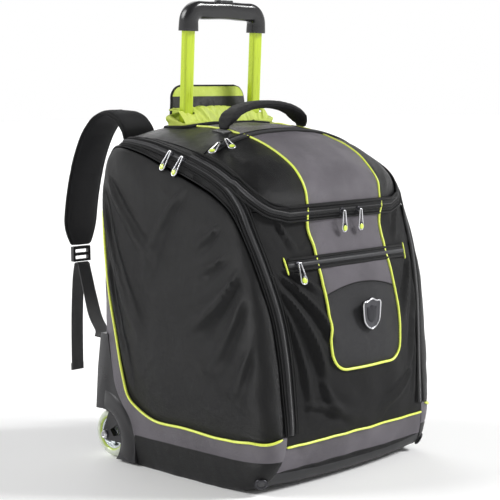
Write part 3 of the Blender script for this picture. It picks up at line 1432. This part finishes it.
# ---------------------------------------------------------------- well and its flap
def build_well():
    """The lime collar and bunched cloth round the tubes, and the cover flap behind them."""
    half_x, low, high = LIME_WELL
    low, high = low - CENTRE_Y, high - CENTRE_Y
    mid, half_y = (low + high) / 2, (high - low) / 2
    count = 220
    outline = superellipse(half_x, half_y, 8, count)
    levels = [(0.0026, 0.0), (0.0, 0.01)]
    levels += [(0.0, t) for t in spread(0.05, 0.90, 26)]
    levels += [(0.0002, 0.95), (0.0010, 0.99), (0.0022, 1.0), (0.0034, 0.98), (0.0040, 0.93)]
    levels += [(0.0042, t) for t in spread(0.86, 0.08, 14)]
    rings = []
    for inset, t in levels:
        ring = []
        for a, b in outline:
            back = (b + half_y) / (2 * half_y)
            slump = 0.0075 * noise.noise(Vector((a * 34, b * 34, 2.0)))
            top = 0.5440 + 0.0140 * back + slump
            z = 0.512 + (top - 0.512) * t
            give = smooth(0.536, 0.546, z)
            wave = noise.noise(Vector((a * 46, b * 46, z * 60)))
            gather = noise.noise(Vector((a * 150, b * 150, z * 30 + 3)))
            roll = 0.0034 * math.sin(math.pi * smooth(0.536, 0.562, z))
            out = give * (0.0030 * wave + 0.0018 * gather + roll)
            if inset > 0.003:
                out = -0.0008 * abs(gather) - 0.0010 * abs(wave)
            length = math.hypot(a, b)
            ring.append(Vector((a * (1 - inset / half_x) + out * a / length,
                                b * (1 - inset / half_y) + out * b / length * 0.7 + mid, z)))
        rings.append(ring)
    collar = loft("well_collar", rings, ["lime_cloth"], closed=True, angle=60)
    place(collar, "bag", "lime_lining", ["well_lining"])
    rim, ups = [], []
    for a, b in superellipse(half_x + 0.0035, half_y + 0.0035, 8, 120):
        w = a / 0.187
        at = bend(bent_station(w, b + mid, 15.6, 18.2, 20), w)
        normal = strip_normal(at, w)
        rim.append(strip_point(at, w) + normal * 0.0022)
        ups.append(normal)
    place(tube("well_binding", rim, 0.0030, "binding", ups, 10, closed=True), "bag", "black_fabric")

    # Thin cloth bunched in the well: it climbs from the front rim to the flap and sinks round the tubes.
    def bunch(x, y):
        t = (y - low) / (high - low)
        rise = 0.5395 + 0.0245 * smooth(0.02, 0.50, t) - 0.0030 * smooth(0.85, 1.0, t)
        rise -= 0.0050 * smooth(0.086, 0.101, abs(x))
        near = math.hypot((abs(x) - TUBE_X) / 0.015, (y - 0.046) / 0.012)
        rise -= 0.0080 * math.exp(-near ** 2)
        spot = Vector((x, y, 0.0))
        folds = 0.0
        for scale, height, seed in ((34.0, 0.0052, 1.0), (72.0, 0.0030, 5.0), (160.0, 0.0012, 9.0)):
            swing = noise.noise(spot * scale * 0.5 + Vector((0, 0, seed + 20)))
            ridge = noise.noise(Vector((x * scale + 1.4 * swing, y * scale * 0.55 + 1.1 * swing, seed)))
            folds += height * (0.55 - 1.6 * abs(ridge))
        return rise + folds * smooth(-0.02, 0.10, t)

    def floor_at(x, y):
        z = bunch(x, y)
        return Vector((x, y, z)), Vector((x, y, z - 0.0012)), (x, y, 0.0)

    floor = panel("well_floor", spread(-half_x + 0.0045, half_x - 0.0045, 190),
                  spread(low + 0.0045, high - 0.0045, 56), floor_at, ["lime_cloth", "lime_cloth"])
    for side in (-1, 1):
        hole = superellipse(0.0120, 0.0108, 5.0, 32)
        rings = [[leaning((a + side * TUBE_X, b, z)) for a, b in hole] for z in (-0.05, 0.05)]
        tool = loft("hole", rings, ["grip"])
        apply_boolean(floor, tool, "DIFFERENCE")
    place(floor, "bag", "lime_lining")
    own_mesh(floor)

    # Cover flap: lime lining in front, black outside behind, with a black band and a lime rolled edge.
    outer, inner, cloth = [], [], []
    top, bottom, corner = 0.600, 0.5415, 0.018
    for t in spread(0.0, 1.0, 46):
        rows = [], [], []
        z = bottom + (top - bottom) * t
        half = 0.084 - 0.005 * t
        if z > top - corner:
            half -= corner - math.sqrt(max(0.0, corner ** 2 - (z - top + corner) ** 2))
        for s in spread(-1, 1, 80):
            x = half * s
            puff = 0.0016 * (1 - s ** 4) * math.sin(math.pi * min(1.0, t * 1.05))
            wave = 0.0011 * noise.noise(Vector((x * 30, z * 40, 4.0))) + 0.0005 * noise.noise(
                Vector((x * 90, z * 90, 2.0)))
            y = 0.3080 - CENTRE_Y + 0.0012 * t
            rows[0].append(Vector((x, y - puff * 0.6 + wave + 0.0008, z)))
            rows[1].append(Vector((x, y + 0.0062 + puff * 0.5 + wave, z)))
            rows[2].append((x, z, 0.0))
        outer.append(rows[0])
        inner.append(rows[1])
        cloth.append(rows[2])
    flap = shell("handle_flap_cloth", outer, inner, ["flap", "black"], cloth)
    place(flap, "handle_flap", "lime_lining", ["handle_flap"])
    edge, ups = [], []
    for i, row in enumerate(outer[6:]):
        edge.append((row[0] + inner[i + 6][0]) / 2 + Vector((-0.0003, 0, 0)))
        ups.append(Vector((-1, 0, 0.2)))
    crown = [(a + b) / 2 + Vector((0, 0, 0.0006)) for a, b in zip(outer[-1], inner[-1], strict=True)]
    edge += crown
    ups += [Vector((0, 0, 1))] * len(crown)
    for i, row in reversed(list(enumerate(outer[6:]))):
        edge.append((row[-1] + inner[i + 6][-1]) / 2 + Vector((0.0003, 0, 0)))
        ups.append(Vector((1, 0, 0.2)))
    edge = [p for i, p in enumerate(edge) if i % 2 == 0]
    rim = smooth_path(edge, 2)
    place(tube("handle_flap_edge", rim, 0.0024, "binding"), "handle_flap", "lime_lining")


# ---------------------------------------------------------------- straps and carry handle
STRAP_X = 0.128


def strap_path(side):
    spots = smooth_path([
        (side * 0.094, 0.3735, 0.485), (side * 0.095, 0.380, 0.525), (side * 0.100, 0.398, 0.550),
        (side * 0.109, 0.426, 0.555), (side * 0.118, 0.453, 0.530), (side * 0.124, 0.474, 0.485),
        (side * 0.127, 0.490, 0.430), (side * STRAP_X, 0.500, 0.375), (side * STRAP_X, 0.501, 0.335),
    ], 12)
    return [p - Vector((0, CENTRE_Y, 0)) for p in spots]


def webbing(name, route, half, body, slot_name, finish="webbing", thick=0.0009, replaces=()):
    spots = resample(route, 0.0022)
    rings = []
    for spot, across, up in frames(spots, across=Vector((1, 0, 0))):
        profile = [(-half, 0.0), (-half * 0.96, thick), (0.0, thick * 1.08), (half * 0.96, thick)]
        profile += [(-a, -b) for a, b in profile]
        rings.append([spot + across * a + up * b for a, b in profile])
    made = loft(name, rings, [finish], angle=60)
    near = half * 0.96
    set_cloth(made, len(rings), 0.0022, (-half, -near, 0.0, near, half, near, 0.0, -near))
    return place(made, body, slot_name, replaces)


def build_straps():
    """Shoulder pads with a webbing stripe, and the webbing from guard to buckle and tail."""
    for side, tag in ((-1, "left"), (1, "right")):
        path = resample(strap_path(side), 0.0032)
        placed = frames(path, across=Vector((1, 0, 0)))
        rings, edges = [], ([], [])
        count = len(placed)
        for i, (spot, across, up) in enumerate(placed):
            share = i / (count - 1)
            taper = 1.0 - 0.45 * max(0.0, (share - 0.86) / 0.14) ** 2
            wrinkle = 0.0013 * noise.noise(Vector((share * 26, side * 3.0, 1.0)))
            wrinkle *= smooth(0.62, 0.30, abs(share - 0.25))
            ring = []
            for a, b in superellipse(0.0320 * taper, 0.0060, 3.2, 44):
                edge = abs(a) / (0.0320 * taper)
                puff = (1.0 + 0.12 * (1 - edge ** 2)) * (1.0 - 0.45 * smooth(0.88, 0.97, edge))
                ring.append(spot + across * a + up * (b * puff + wrinkle * (1 - edge * 0.5)))
            rings.append(ring)
            for k, s in enumerate((-1, 1)):
                edges[k].append(spot + across * (s * 0.0318 * taper) + up * wrinkle * 0.5)
        pad = loft(f"shoulder_pad_{tag}", rings, ["strap"], angle=60)
        place(pad, "bag", "strap_fabric", [f"shoulder_strap_{tag}"])
        for k, line in enumerate(edges):
            place(tube(f"strap_binding_{tag}_{k}", line, 0.0026, "binding", None, 10), "bag", "strap_fabric")
        # A webbing stripe sewn down the middle of the pad's outer face.
        stripe = [spot + up * (0.0068 if up.y > 0 or up.z > 0.3 else -0.0068) for spot, _, up in placed[6:]]
        webbing(f"strap_stripe_{tag}", stripe, 0.0115, "bag", "strap_fabric", "grey_webbing", 0.0007)

        loop = smooth_path([
            (side * 0.189, 0.3715, 0.196), (side * 0.176, 0.387, 0.203), (side * 0.162, 0.422, 0.222),
            (side * 0.143, 0.458, 0.250), (side * 0.131, 0.485, 0.285), (side * STRAP_X, 0.494, 0.302),
        ], 8)
        tail = smooth_path([(side * STRAP_X, 0.504, 0.3025), (side * STRAP_X, 0.511, 0.27),
                            (side * STRAP_X, 0.517, 0.20), (side * STRAP_X, 0.5195, 0.115)], 8)
        turn = smooth_path([loop[-1], Vector((side * STRAP_X, 0.499, 0.3040)), tail[0]], 5)
        route = [p - Vector((0, CENTRE_Y, 0)) for p in loop + turn[1:-1] + tail]
        webbing(f"strap_web_{tag}", route, 0.0125, "bag", "webbing", replaces=[f"strap_webbing_{tag}"])
        hem = [route[-1] + Vector((0, 0.0004, z)) for z in (0.0, 0.003, 0.006, 0.009, 0.012)]
        webbing(f"strap_hem_{tag}", hem, 0.0128, "bag", "webbing", thick=0.0019)
        dress(f"strap_buckle_{tag}", "buckle", 0.0012, 3)


CARRY_X = 0.088
CARRY_BASE = Vector((0, 0.182 - CENTRE_Y, 0.5368))


def build_carry_handle():
    """The padded grab handle and the patches that its feet are sewn on."""
    left = [(-CARRY_X, 0, -0.004), (-CARRY_X + 0.004, 0, 0.006), (-0.068, 0, 0.020), (-0.038, 0, 0.030)]
    spots = smooth_path([*left, (0, 0, 0.033), *((-x, y, z) for x, y, z in reversed(left))], 14)
    spots = resample([CARRY_BASE + p for p in spots], 0.0022)
    placed = frames(spots, across=Vector((0, 1, 0)))
    count = len(placed)
    rings, seams = [], ([], [])
    for i, (spot, across, up) in enumerate(placed):
        share = min(i, count - 1 - i) / (count - 1)
        narrow = min(1.0, 0.46 + 0.54 * share / 0.085)
        rise = 0.0062 - 0.0022 * smooth(0.12, 0.02, share)
        ring = []
        for a, b in superellipse(0.0185 * narrow, rise, 3.6, 40):
            edge = abs(a) / (0.0185 * narrow)
            wrinkle = 0.0006 * noise.noise(Vector((i * 0.35, a * 120, b * 120)))
            gather = 0.0005 * math.sin(i * 1.2) * smooth(0.14, 0.06, share)
            lift = b * (1 - 0.10 * edge ** 4) + wrinkle + gather
            ring.append(spot + across * a * (1 + wrinkle * 20) + up * lift)
        rings.append(ring)
        for k, s in enumerate((-1, 1)):
            seams[k].append(spot + across * (s * 0.0185 * narrow))
    grip = loft("carry_handle_pad", rings, ["strap"], angle=60)
    place(grip, "carry_handle", "handle_wrap", ["carry_handle"])
    for k, line in enumerate(seams):
        seam = tube(f"carry_handle_seam_{k}", line[4:-4], 0.0011, "binding")
        place(seam, "carry_handle", "handle_wrap")
    # Stitched patches where its feet are sewn to the top.
    for side, tag in ((-1, "left"), (1, "right")):
        def foot_at(x, y, side=side):
            w = (side * (CARRY_X + 0.001) + x) / 0.188
            u = bent_station(w, CARRY_BASE.y + y, 15.4, 17.4, 22)
            spot, normal = strip_point(bend(u, w), w), strip_normal(bend(u, w), w)
            base = spot + normal * relief_top(u, w, spot)
            return base + normal * 0.0016, base - normal * 0.0008, (x, y, 0.0)

        half = spread(-0.0130, 0.0130, 14)
        place(panel(f"carry_foot_{tag}", half, half, foot_at, ["webbing", "webbing"]), "bag", "handle_wrap")


# ---------------------------------------------------------------- zips and pulls
FRONT_ZIP_U = U_LID_FRONT - 0.22
U_POCKET = 10.05


def along_strip(places, lift):
    points = [strip_point(u, w) + strip_normal(u, w) * lift for u, w in places]
    return points, [strip_normal(u, w) for u, w in places]


def lid_zip_places(offset=0.05):
    rows = spread(U_LID_FRONT + LID_CORNER_U, U_HINGE - 0.1, 36)
    corner = [U_LID_FRONT + LID_CORNER_U * k / 24 for k in range(1, 24)]
    right = [(u, lid_edge(u) + offset) for u in reversed(rows)]
    right += [(u - offset * 1.2, lid_edge(u) + offset * 0.8) for u in reversed(corner)]
    front = [(FRONT_ZIP_U, w) for w in spread(0.62, -0.62, 60)]
    return right + front + [(u, -w) for u, w in reversed(right)]


def zip_line(name, points, ups, body, replaces, tape, welts):
    """A zip with fabric welts along both edges of its tape: (distance from its middle, radius) of each."""
    zip_chain(name, points, ups, body, "zip_tape", replaces, tape)
    pairs = [(side * offset, radius) for offset, radius in welts for side in (-1, 1)]
    for k, (offset, radius) in enumerate(pairs):
        spots, normals = resample(points, 0.003, ups)
        line = [p + across * offset + up * 0.0006 for p, across, up in frames(spots, normals)]
        place(tube(f"{name}_welt_{k}", line, radius, "binding", normals), body, "zip_tape")


def build_zips():
    """Zips of the lid, the sides, the pocket and the top, and the cord round the lid."""
    points, ups = along_strip(lid_zip_places(), 0.0026)
    zip_line("lid_zip_chain", points, ups, "bag", ["lid_zip"], 0.0100, ((0.0108, 0.0016), (0.0062, 0.0008)))
    for side, tag in ((-1, "left"), (1, "right")):
        points, ups = along_strip([(u, side * 0.955) for u in spread(6.05, 18.0, 250)], 0.0020)
        zip_line(f"side_zip_chain_{tag}", points, ups, f"side_flap_{tag}", [f"side_zip_{tag}"], 0.0068,
                 ((0.0076, 0.0014), (0.0112, 0.0008)))
    points, ups = along_strip([(U_POCKET, w) for w in spread(-0.74, 0.74, 90)], 0.0016)
    zip_line("pocket_zip_chain", points, ups, "bag", ["pocket_zip"], 0.0072, ((0.0083, 0.0021),))
    for k, w in enumerate((-0.76, 0.76)):
        tick, normals = along_strip([(U_POCKET + t, w) for t in spread(-0.22, 0.22, 10)], 0.0020)
        place(tube(f"pocket_tick_{k}", tick, 0.0014, "piping", normals), "bag", "lime_lining")
    cross = [(bend(U_TOP_ZIP, w), w) for w in spread(-0.80, 0.80, 90)]
    points, ups = along_strip(cross, 0.0026)
    zip_line("top_zip_chain", points, ups, "lid", ["top_zip"], 0.0062, ((0.0070, 0.0017),))
    # A corded edge on the lid, just inside its zip.
    rows = spread(U_LID_FRONT + LID_CORNER_U, U_HINGE - 0.12, 40)
    corner = [U_LID_FRONT + 0.06 + (LID_CORNER_U - 0.06) * k / 20 for k in range(20)]
    right = [(bend(u, lid_edge(u)), lid_edge(u) - 0.004) for u in reversed(rows)]
    right += [(u, lid_edge(u) - 0.004) for u in reversed(corner)]
    half = lid_edge(U_LID_FRONT + 0.06) - 0.02
    front = [(U_LID_FRONT + 0.06, w) for w in spread(half, -half, 50)]
    points, ups = along_strip(right + front + [(u, -w) for u, w in reversed(right)], 0.0020)
    points, ups = resample(points, 0.004, ups)
    place(tube("lid_cord", points, 0.0024, "binding", ups), "lid", "zip_tape")


def pull_places():
    """Hinge point, hanging direction, outward direction, body and parent body of each pull."""
    made = []

    def hang(name, u, w, down, parent, out=None, lift=0.0085):
        normal = strip_normal(u, w)
        hinge = strip_point(u, w) + normal * lift
        down = Vector(down).normalized()
        out = Vector(out) if out else normal
        out = (out - down * out.dot(down)).normalized()
        made.append((name, hinge, down, out, normal, (u, w), parent))

    hang("lid_pull_left", FRONT_ZIP_U, -0.085, (0, 0.0, -1), "bag", lift=0.0100)
    hang("lid_pull_right", FRONT_ZIP_U, 0.115, (0, 0.0, -1), "bag", lift=0.0100)
    hang("pocket_pull", 10.05, -0.65, (0.0, -0.35, -1), "bag")
    hang("top_pull_front", bend(U_TOP_ZIP, -0.66), -0.66, (-0.35, -0.85, -0.42), "lid")
    hang("top_pull_rear", bend(U_TOP_ZIP, -0.735), -0.735, (-0.80, -0.30, -0.42), "lid")
    for side, tag in ((-1, "left"), (1, "right")):
        for u, spot in ((15.45, "front"), (15.95, "rear")):
            hang(f"side_pull_{spot}_{tag}", u, side * 0.955, (side * 0.34, 0.30, -0.88), f"side_flap_{tag}",
                 (side, 0, 0.35))
    return made


def build_pulls():
    """Slider, wire loop, moulded end and lime domes of each pull."""
    for name, hinge, down, out, normal, (u, w), parent in pull_places():
        side = out.cross(down).normalized()

        def at(a, b, c, hinge=hinge, side=side, out=out, down=down):
            """a across, b off the bag, c down the pull."""
            return hinge + side * a + out * b + down * c

        # Slider body on the zip, with a bridge that holds the loop.
        if name.startswith("side"):
            along = (strip_point(u + 0.1, w) - strip_point(u - 0.1, w)).normalized()
        else:
            along = (strip_point(u, w + 0.02) - strip_point(u, w - 0.02)).normalized()
        across = normal.cross(along).normalized()
        lift = (hinge - strip_point(u, w)).dot(normal)
        base = strip_point(u, w) + normal * (lift - 0.0068)
        rings = []
        for rise, grow in ((0.0, 0.92), (0.0006, 1.0), (0.0020, 1.0), (0.0027, 0.93), (0.0030, 0.80)):
            ring = []
            for a, b in superellipse(0.0062, 0.0042, 2.6, 28):
                pinch = 1.0 - 0.22 * smooth(0.0, 0.006, a)
                ring.append(base + normal * rise + along * a * grow + across * b * grow * pinch)
            rings.append(ring)
        place(loft(f"{name}_slider", rings, ["dark_metal"], angle=50), parent, "pull_metal")
        bridge = [base + along * a + normal * (0.0028 + b) for a, b in (
            (-0.0044, -0.0006), (-0.0040, 0.0014), (-0.0026, 0.0030), (-0.0008, 0.0034), (0.0012, 0.0030),
            (0.0030, 0.0014), (0.0036, -0.0006))]
        place(tube(f"{name}_bridge", smooth_path(bridge, 3), 0.0008, "dark_metal"), parent, "pull_metal")

        # Wire loop that widens round a moulded end with a lime dome.
        limb = ((0.0016, -0.0008), (0.0023, 0.0010), (0.0027, 0.0060), (0.0033, 0.0120), (0.0041, 0.0180),
                (0.0048, 0.0230))
        loop = [at(0.0, 0.0, -0.0012)] + [at(a, 0.0, c) for a, c in limb]
        loop += [at(0.0051 * math.cos(t), 0.0, 0.0255 + 0.0055 * math.sin(t))
                 for t in spread(0.0, math.pi, 13)]
        loop += [at(-a, 0.0, c) for a, c in reversed(limb)]
        wire = loft(f"{name}_wire", wire_rings(loop, 0.0011, out), ["steel"], closed=True)
        place(wire, name, "pull_metal", [name])
        rings = []
        for b, grow in ((-0.0013, 0.84), (-0.0011, 0.95), (-0.0004, 1.0), (0.0004, 1.0), (0.0011, 0.95),
                        (0.0013, 0.84)):
            ring = []
            for k in range(40):
                c, s = math.cos(math.tau * k / 40), math.sin(math.tau * k / 40)
                ring.append(at(0.0048 * c * grow, b, 0.0255 + (0.0052 if s > 0 else 0.0075) * s * grow))
            rings.append(ring)
        place(loft(f"{name}_end", rings, ["grip"], angle=50), name, "pull_metal")
        for face, label in ((1, "front"), (-1, "back")):
            rings = []
            for b, grow in ((0.0008, 1.0), (0.0015, 1.0), (0.0020, 0.90), (0.0023, 0.65), (0.0024, 0.3)):
                rings.append([at(0.0043 * grow * math.cos(math.tau * k / 28), face * b,
                                 0.0257 + 0.0043 * grow * math.sin(math.tau * k / 28)) for k in range(28)])
            place(loft(f"{name}_dot_{label}", rings, ["dot"], angle=60), name, "pull_metal")


def wire_rings(path, radius, up, sides=10):
    """Rings round a closed wire."""
    rings = []
    count = len(path)
    for i in range(count):
        along = (path[(i + 1) % count] - path[i - 1]).normalized()
        first = along.cross(up).normalized()
        second = first.cross(along)
        rings.append([path[i] + first * radius * math.cos(math.tau * k / sides)
                      + second * radius * math.sin(math.tau * k / sides) for k in range(sides)])
    return rings


# ---------------------------------------------------------------- trim and inside
def shield_outline(grow=1.0):
    points = [(0.0, 0.2300), (0.0105, 0.2352), (0.0178, 0.2445), (0.0200, 0.2600), (0.0200, 0.2735),
              (0.0105, 0.2752), (0.0, 0.2790)]
    points += [(-x, z) for x, z in reversed(points[1:-1])]
    line = smooth_path([(x, 0, z) for x, z in points] + [(0.0, 0, 0.2300)], 5)[:-1]
    return [(p.x * grow, 0.2550 + (p.z - 0.2550) * grow) for p in line]


def build_trim():
    """The shield badge and the vent eyelets."""
    rings = []
    base = -0.0395 - CENTRE_Y
    for y, grow in ((0.0, 1.0), (-0.0026, 1.0), (-0.0032, 0.97), (-0.0033, 0.90), (-0.0027, 0.86),
                    (-0.0026, 0.60), (-0.0030, 0.40)):
        rings.append([Vector((x, base + y, z)) for x, z in shield_outline(grow)])
    place(loft("badge_plate", rings, ["badge"], angle=40), "bag", "badge_metal", ["badge"])
    rim = [Vector((x, base - 0.0028, z)) for x, z in shield_outline(0.94)]
    rim = tube("badge_rim", rim, 0.0013, "steel", [Vector((0, -1, 0))] * len(rim), 8, closed=True)
    place(rim, "bag", "badge_metal")
    rings = []
    for y, grow in ((-0.0022, 0.56), (-0.0034, 0.54), (-0.0040, 0.44), (-0.0042, 0.20)):
        rings.append([Vector((x, base + y, z)) for x, z in shield_outline(grow)])
    place(loft("badge_boss", rings, ["dark_metal"], angle=30), "bag", "badge_metal")

    for side, tag in ((-1, "left"), (1, "right")):
        spot = side_point(4.0, 0.90, side)
        out = side_normal(4.0, 0.90, side)
        first = (side_point(4.01, 0.90, side) - side_point(3.99, 0.90, side)).normalized()
        second = out.cross(first)
        profile = ((0.0105, 0.0006), (0.0107, 0.0014), (0.0102, 0.0026), (0.0090, 0.0034), (0.0072, 0.0032),
                   (0.0060, 0.0024), (0.0055, 0.0006))
        rings = []
        for k in range(48):
            angle = math.tau * k / 48
            away = first * math.cos(angle) + second * math.sin(angle)
            rings.append([spot + away * radius + out * rise for radius, rise in profile])
        place(loft(f"eyelet_ring_{tag}", rings, ["dark_metal"], closed=True), "bag", "eyelet_metal",
              [f"vent_eyelet_{tag}"])
        def net_at(a, b, spot=spot, first=first, second=second, out=out):
            scale = 1.0 / max(1.0, math.hypot(a, b) / 0.0058)
            at = spot + first * a * scale + second * b * scale
            return at + out * 0.0019, at + out * 0.0009, (a, b, 0.0)

        across = spread(-0.0058, 0.0058, 14)
        mesh = panel(f"eyelet_mesh_{tag}", across, across, net_at, ["air_mesh", "air_mesh"])
        place(mesh, "bag", "eyelet_metal")


def rounded_outline(corners, steps=6):
    points = []
    count = len(corners)
    for i, (a, b, radius) in enumerate(corners):
        here = Vector((a, b))
        before = (Vector(corners[i - 1][:2]) - here).normalized()
        after = (Vector(corners[(i + 1) % count][:2]) - here).normalized()
        half = before.angle(after) / 2
        reach = radius / math.tan(half)
        middle = here + (before + after).normalized() * radius / math.sin(half)
        start, end = here + before * reach - middle, here + after * reach - middle
        turn = start.angle_signed(end)
        for k in range(steps + 1):
            spot = middle + Matrix.Rotation(-turn * k / steps, 2) @ start
            points.append((spot.x, spot.y))
    return points


def build_inside():
    """The two dividers with their bound edges."""
    outline = rounded_outline([
        (0.030, 0.012, 0.01), (0.262, 0.012, 0.01), (0.240, 0.470, 0.02), (0.130, 0.455, 0.05),
        (0.050, 0.380, 0.04),
    ])
    for side, tag in ((-1, "left"), (1, "right")):
        middle = side * 0.085

        def bulge(y, z, side=side):
            return 0.0016 * noise.noise(Vector((y * 14, z * 10, side * 3)))

        def divider_at(y, z, side=side, middle=middle, bulge=bulge):
            wave = bulge(y, z) + 0.0005 * fractal((y, z, side), 0.03)
            return (Vector((middle + wave + 0.0007, y - CENTRE_Y, z)),
                    Vector((middle + wave - 0.0007, y - CENTRE_Y, z)), (y, z, 0.0))

        divider = panel(f"divider_cloth_{tag}", spread(0.020, 0.275, 46), spread(0.005, 0.478, 80),
                        divider_at, ["lining", "lining"])
        apply_boolean(divider, x_prism("outline", outline, middle - 0.01, middle + 0.01), "INTERSECT")
        place(divider, "bag", "lining", [f"divider_{tag}"])
        rim = [Vector((middle + bulge(y, z), y - CENTRE_Y, z)) for y, z in outline + outline[:1]]
        rim, _ = resample(rim, 0.004, [Vector((0, 0, 1))] * len(rim))
        binding = place(tube(f"divider_binding_{tag}", rim, 0.0020, "binding"), "bag", "lining")


# ---------------------------------------------------------------- light, floor and camera
def build_studio():
    """Floor, soft light and the camera."""
    bpy.ops.mesh.primitive_plane_add(size=60, location=(0, 0, 0))
    floor = bpy.context.object
    floor.name = "studio_floor"
    floor.data.materials.append(FINISH["floor"])
    world = bpy.data.worlds.new("studio")
    bpy.context.scene.world = world
    world.use_nodes = True
    background = world.node_tree.nodes["Background"]
    background.inputs["Color"].default_value = (1.0, 1.0, 1.0, 1.0)
    # White at the horizon, dimmer overhead.
    nodes, links = world.node_tree.nodes, world.node_tree.links
    coords = nodes.new("ShaderNodeTexCoord")
    split = nodes.new("ShaderNodeSeparateXYZ")
    ramp = nodes.new("ShaderNodeMapRange")
    links.new(coords.outputs["Generated"], split.inputs["Vector"])
    links.new(split.outputs["Z"], ramp.inputs["Value"])
    for name, given in (("From Min", 0.16), ("From Max", 0.40), ("To Min", 1.0), ("To Max", 0.25)):
        ramp.inputs[name].default_value = given
    links.new(ramp.outputs["Result"], background.inputs["Strength"])
    for name, towards, angle, power in (
        ("key", (0.62, -0.58, 0.62), 16, 3.4), ("left", (-0.62, 0.62, 0.60), 30, 2.0),
        ("back", (0.45, 0.90, 0.60), 40, 0.7),
    ):
        data = bpy.data.lights.new(name, "SUN")
        data.angle = math.radians(angle)
        data.energy = power
        light = bpy.data.objects.new(name, data)
        light.rotation_euler = Vector(towards).to_track_quat("Z", "Y").to_euler()
        bpy.context.scene.collection.objects.link(light)

    yaw, pitch, roll = math.radians(44.6), math.radians(6.32), math.radians(-0.8)
    forward = Vector((math.sin(yaw) * math.cos(pitch), math.cos(yaw) * math.cos(pitch), -math.sin(pitch)))
    right = Vector((math.cos(yaw), -math.sin(yaw), 0.0))
    up = right.cross(forward)
    right, up = (right * math.cos(roll) + up * math.sin(roll), up * math.cos(roll) - right * math.sin(roll))
    data = bpy.data.cameras.new("camera")
    data.lens = 98.66
    data.sensor_width = 36.0
    camera = bpy.data.objects.new("camera", data)
    camera.matrix_world = Matrix((right, up, -forward)).transposed().to_4x4()
    camera.location = (-1.562, -1.3662 - CENTRE_Y, 0.5795)
    bpy.context.scene.collection.objects.link(camera)
    bpy.context.scene.camera = camera
    bpy.context.scene.view_settings.view_transform = "Standard"


build_front()
build_top()
build_sides()
build_back_and_base()
build_piping()
build_housings()
build_wheels()
build_trolley()
build_well()
build_straps()
build_carry_handle()
build_zips()
build_pulls()
build_trim()
build_inside()
build_stitches()
build_studio()
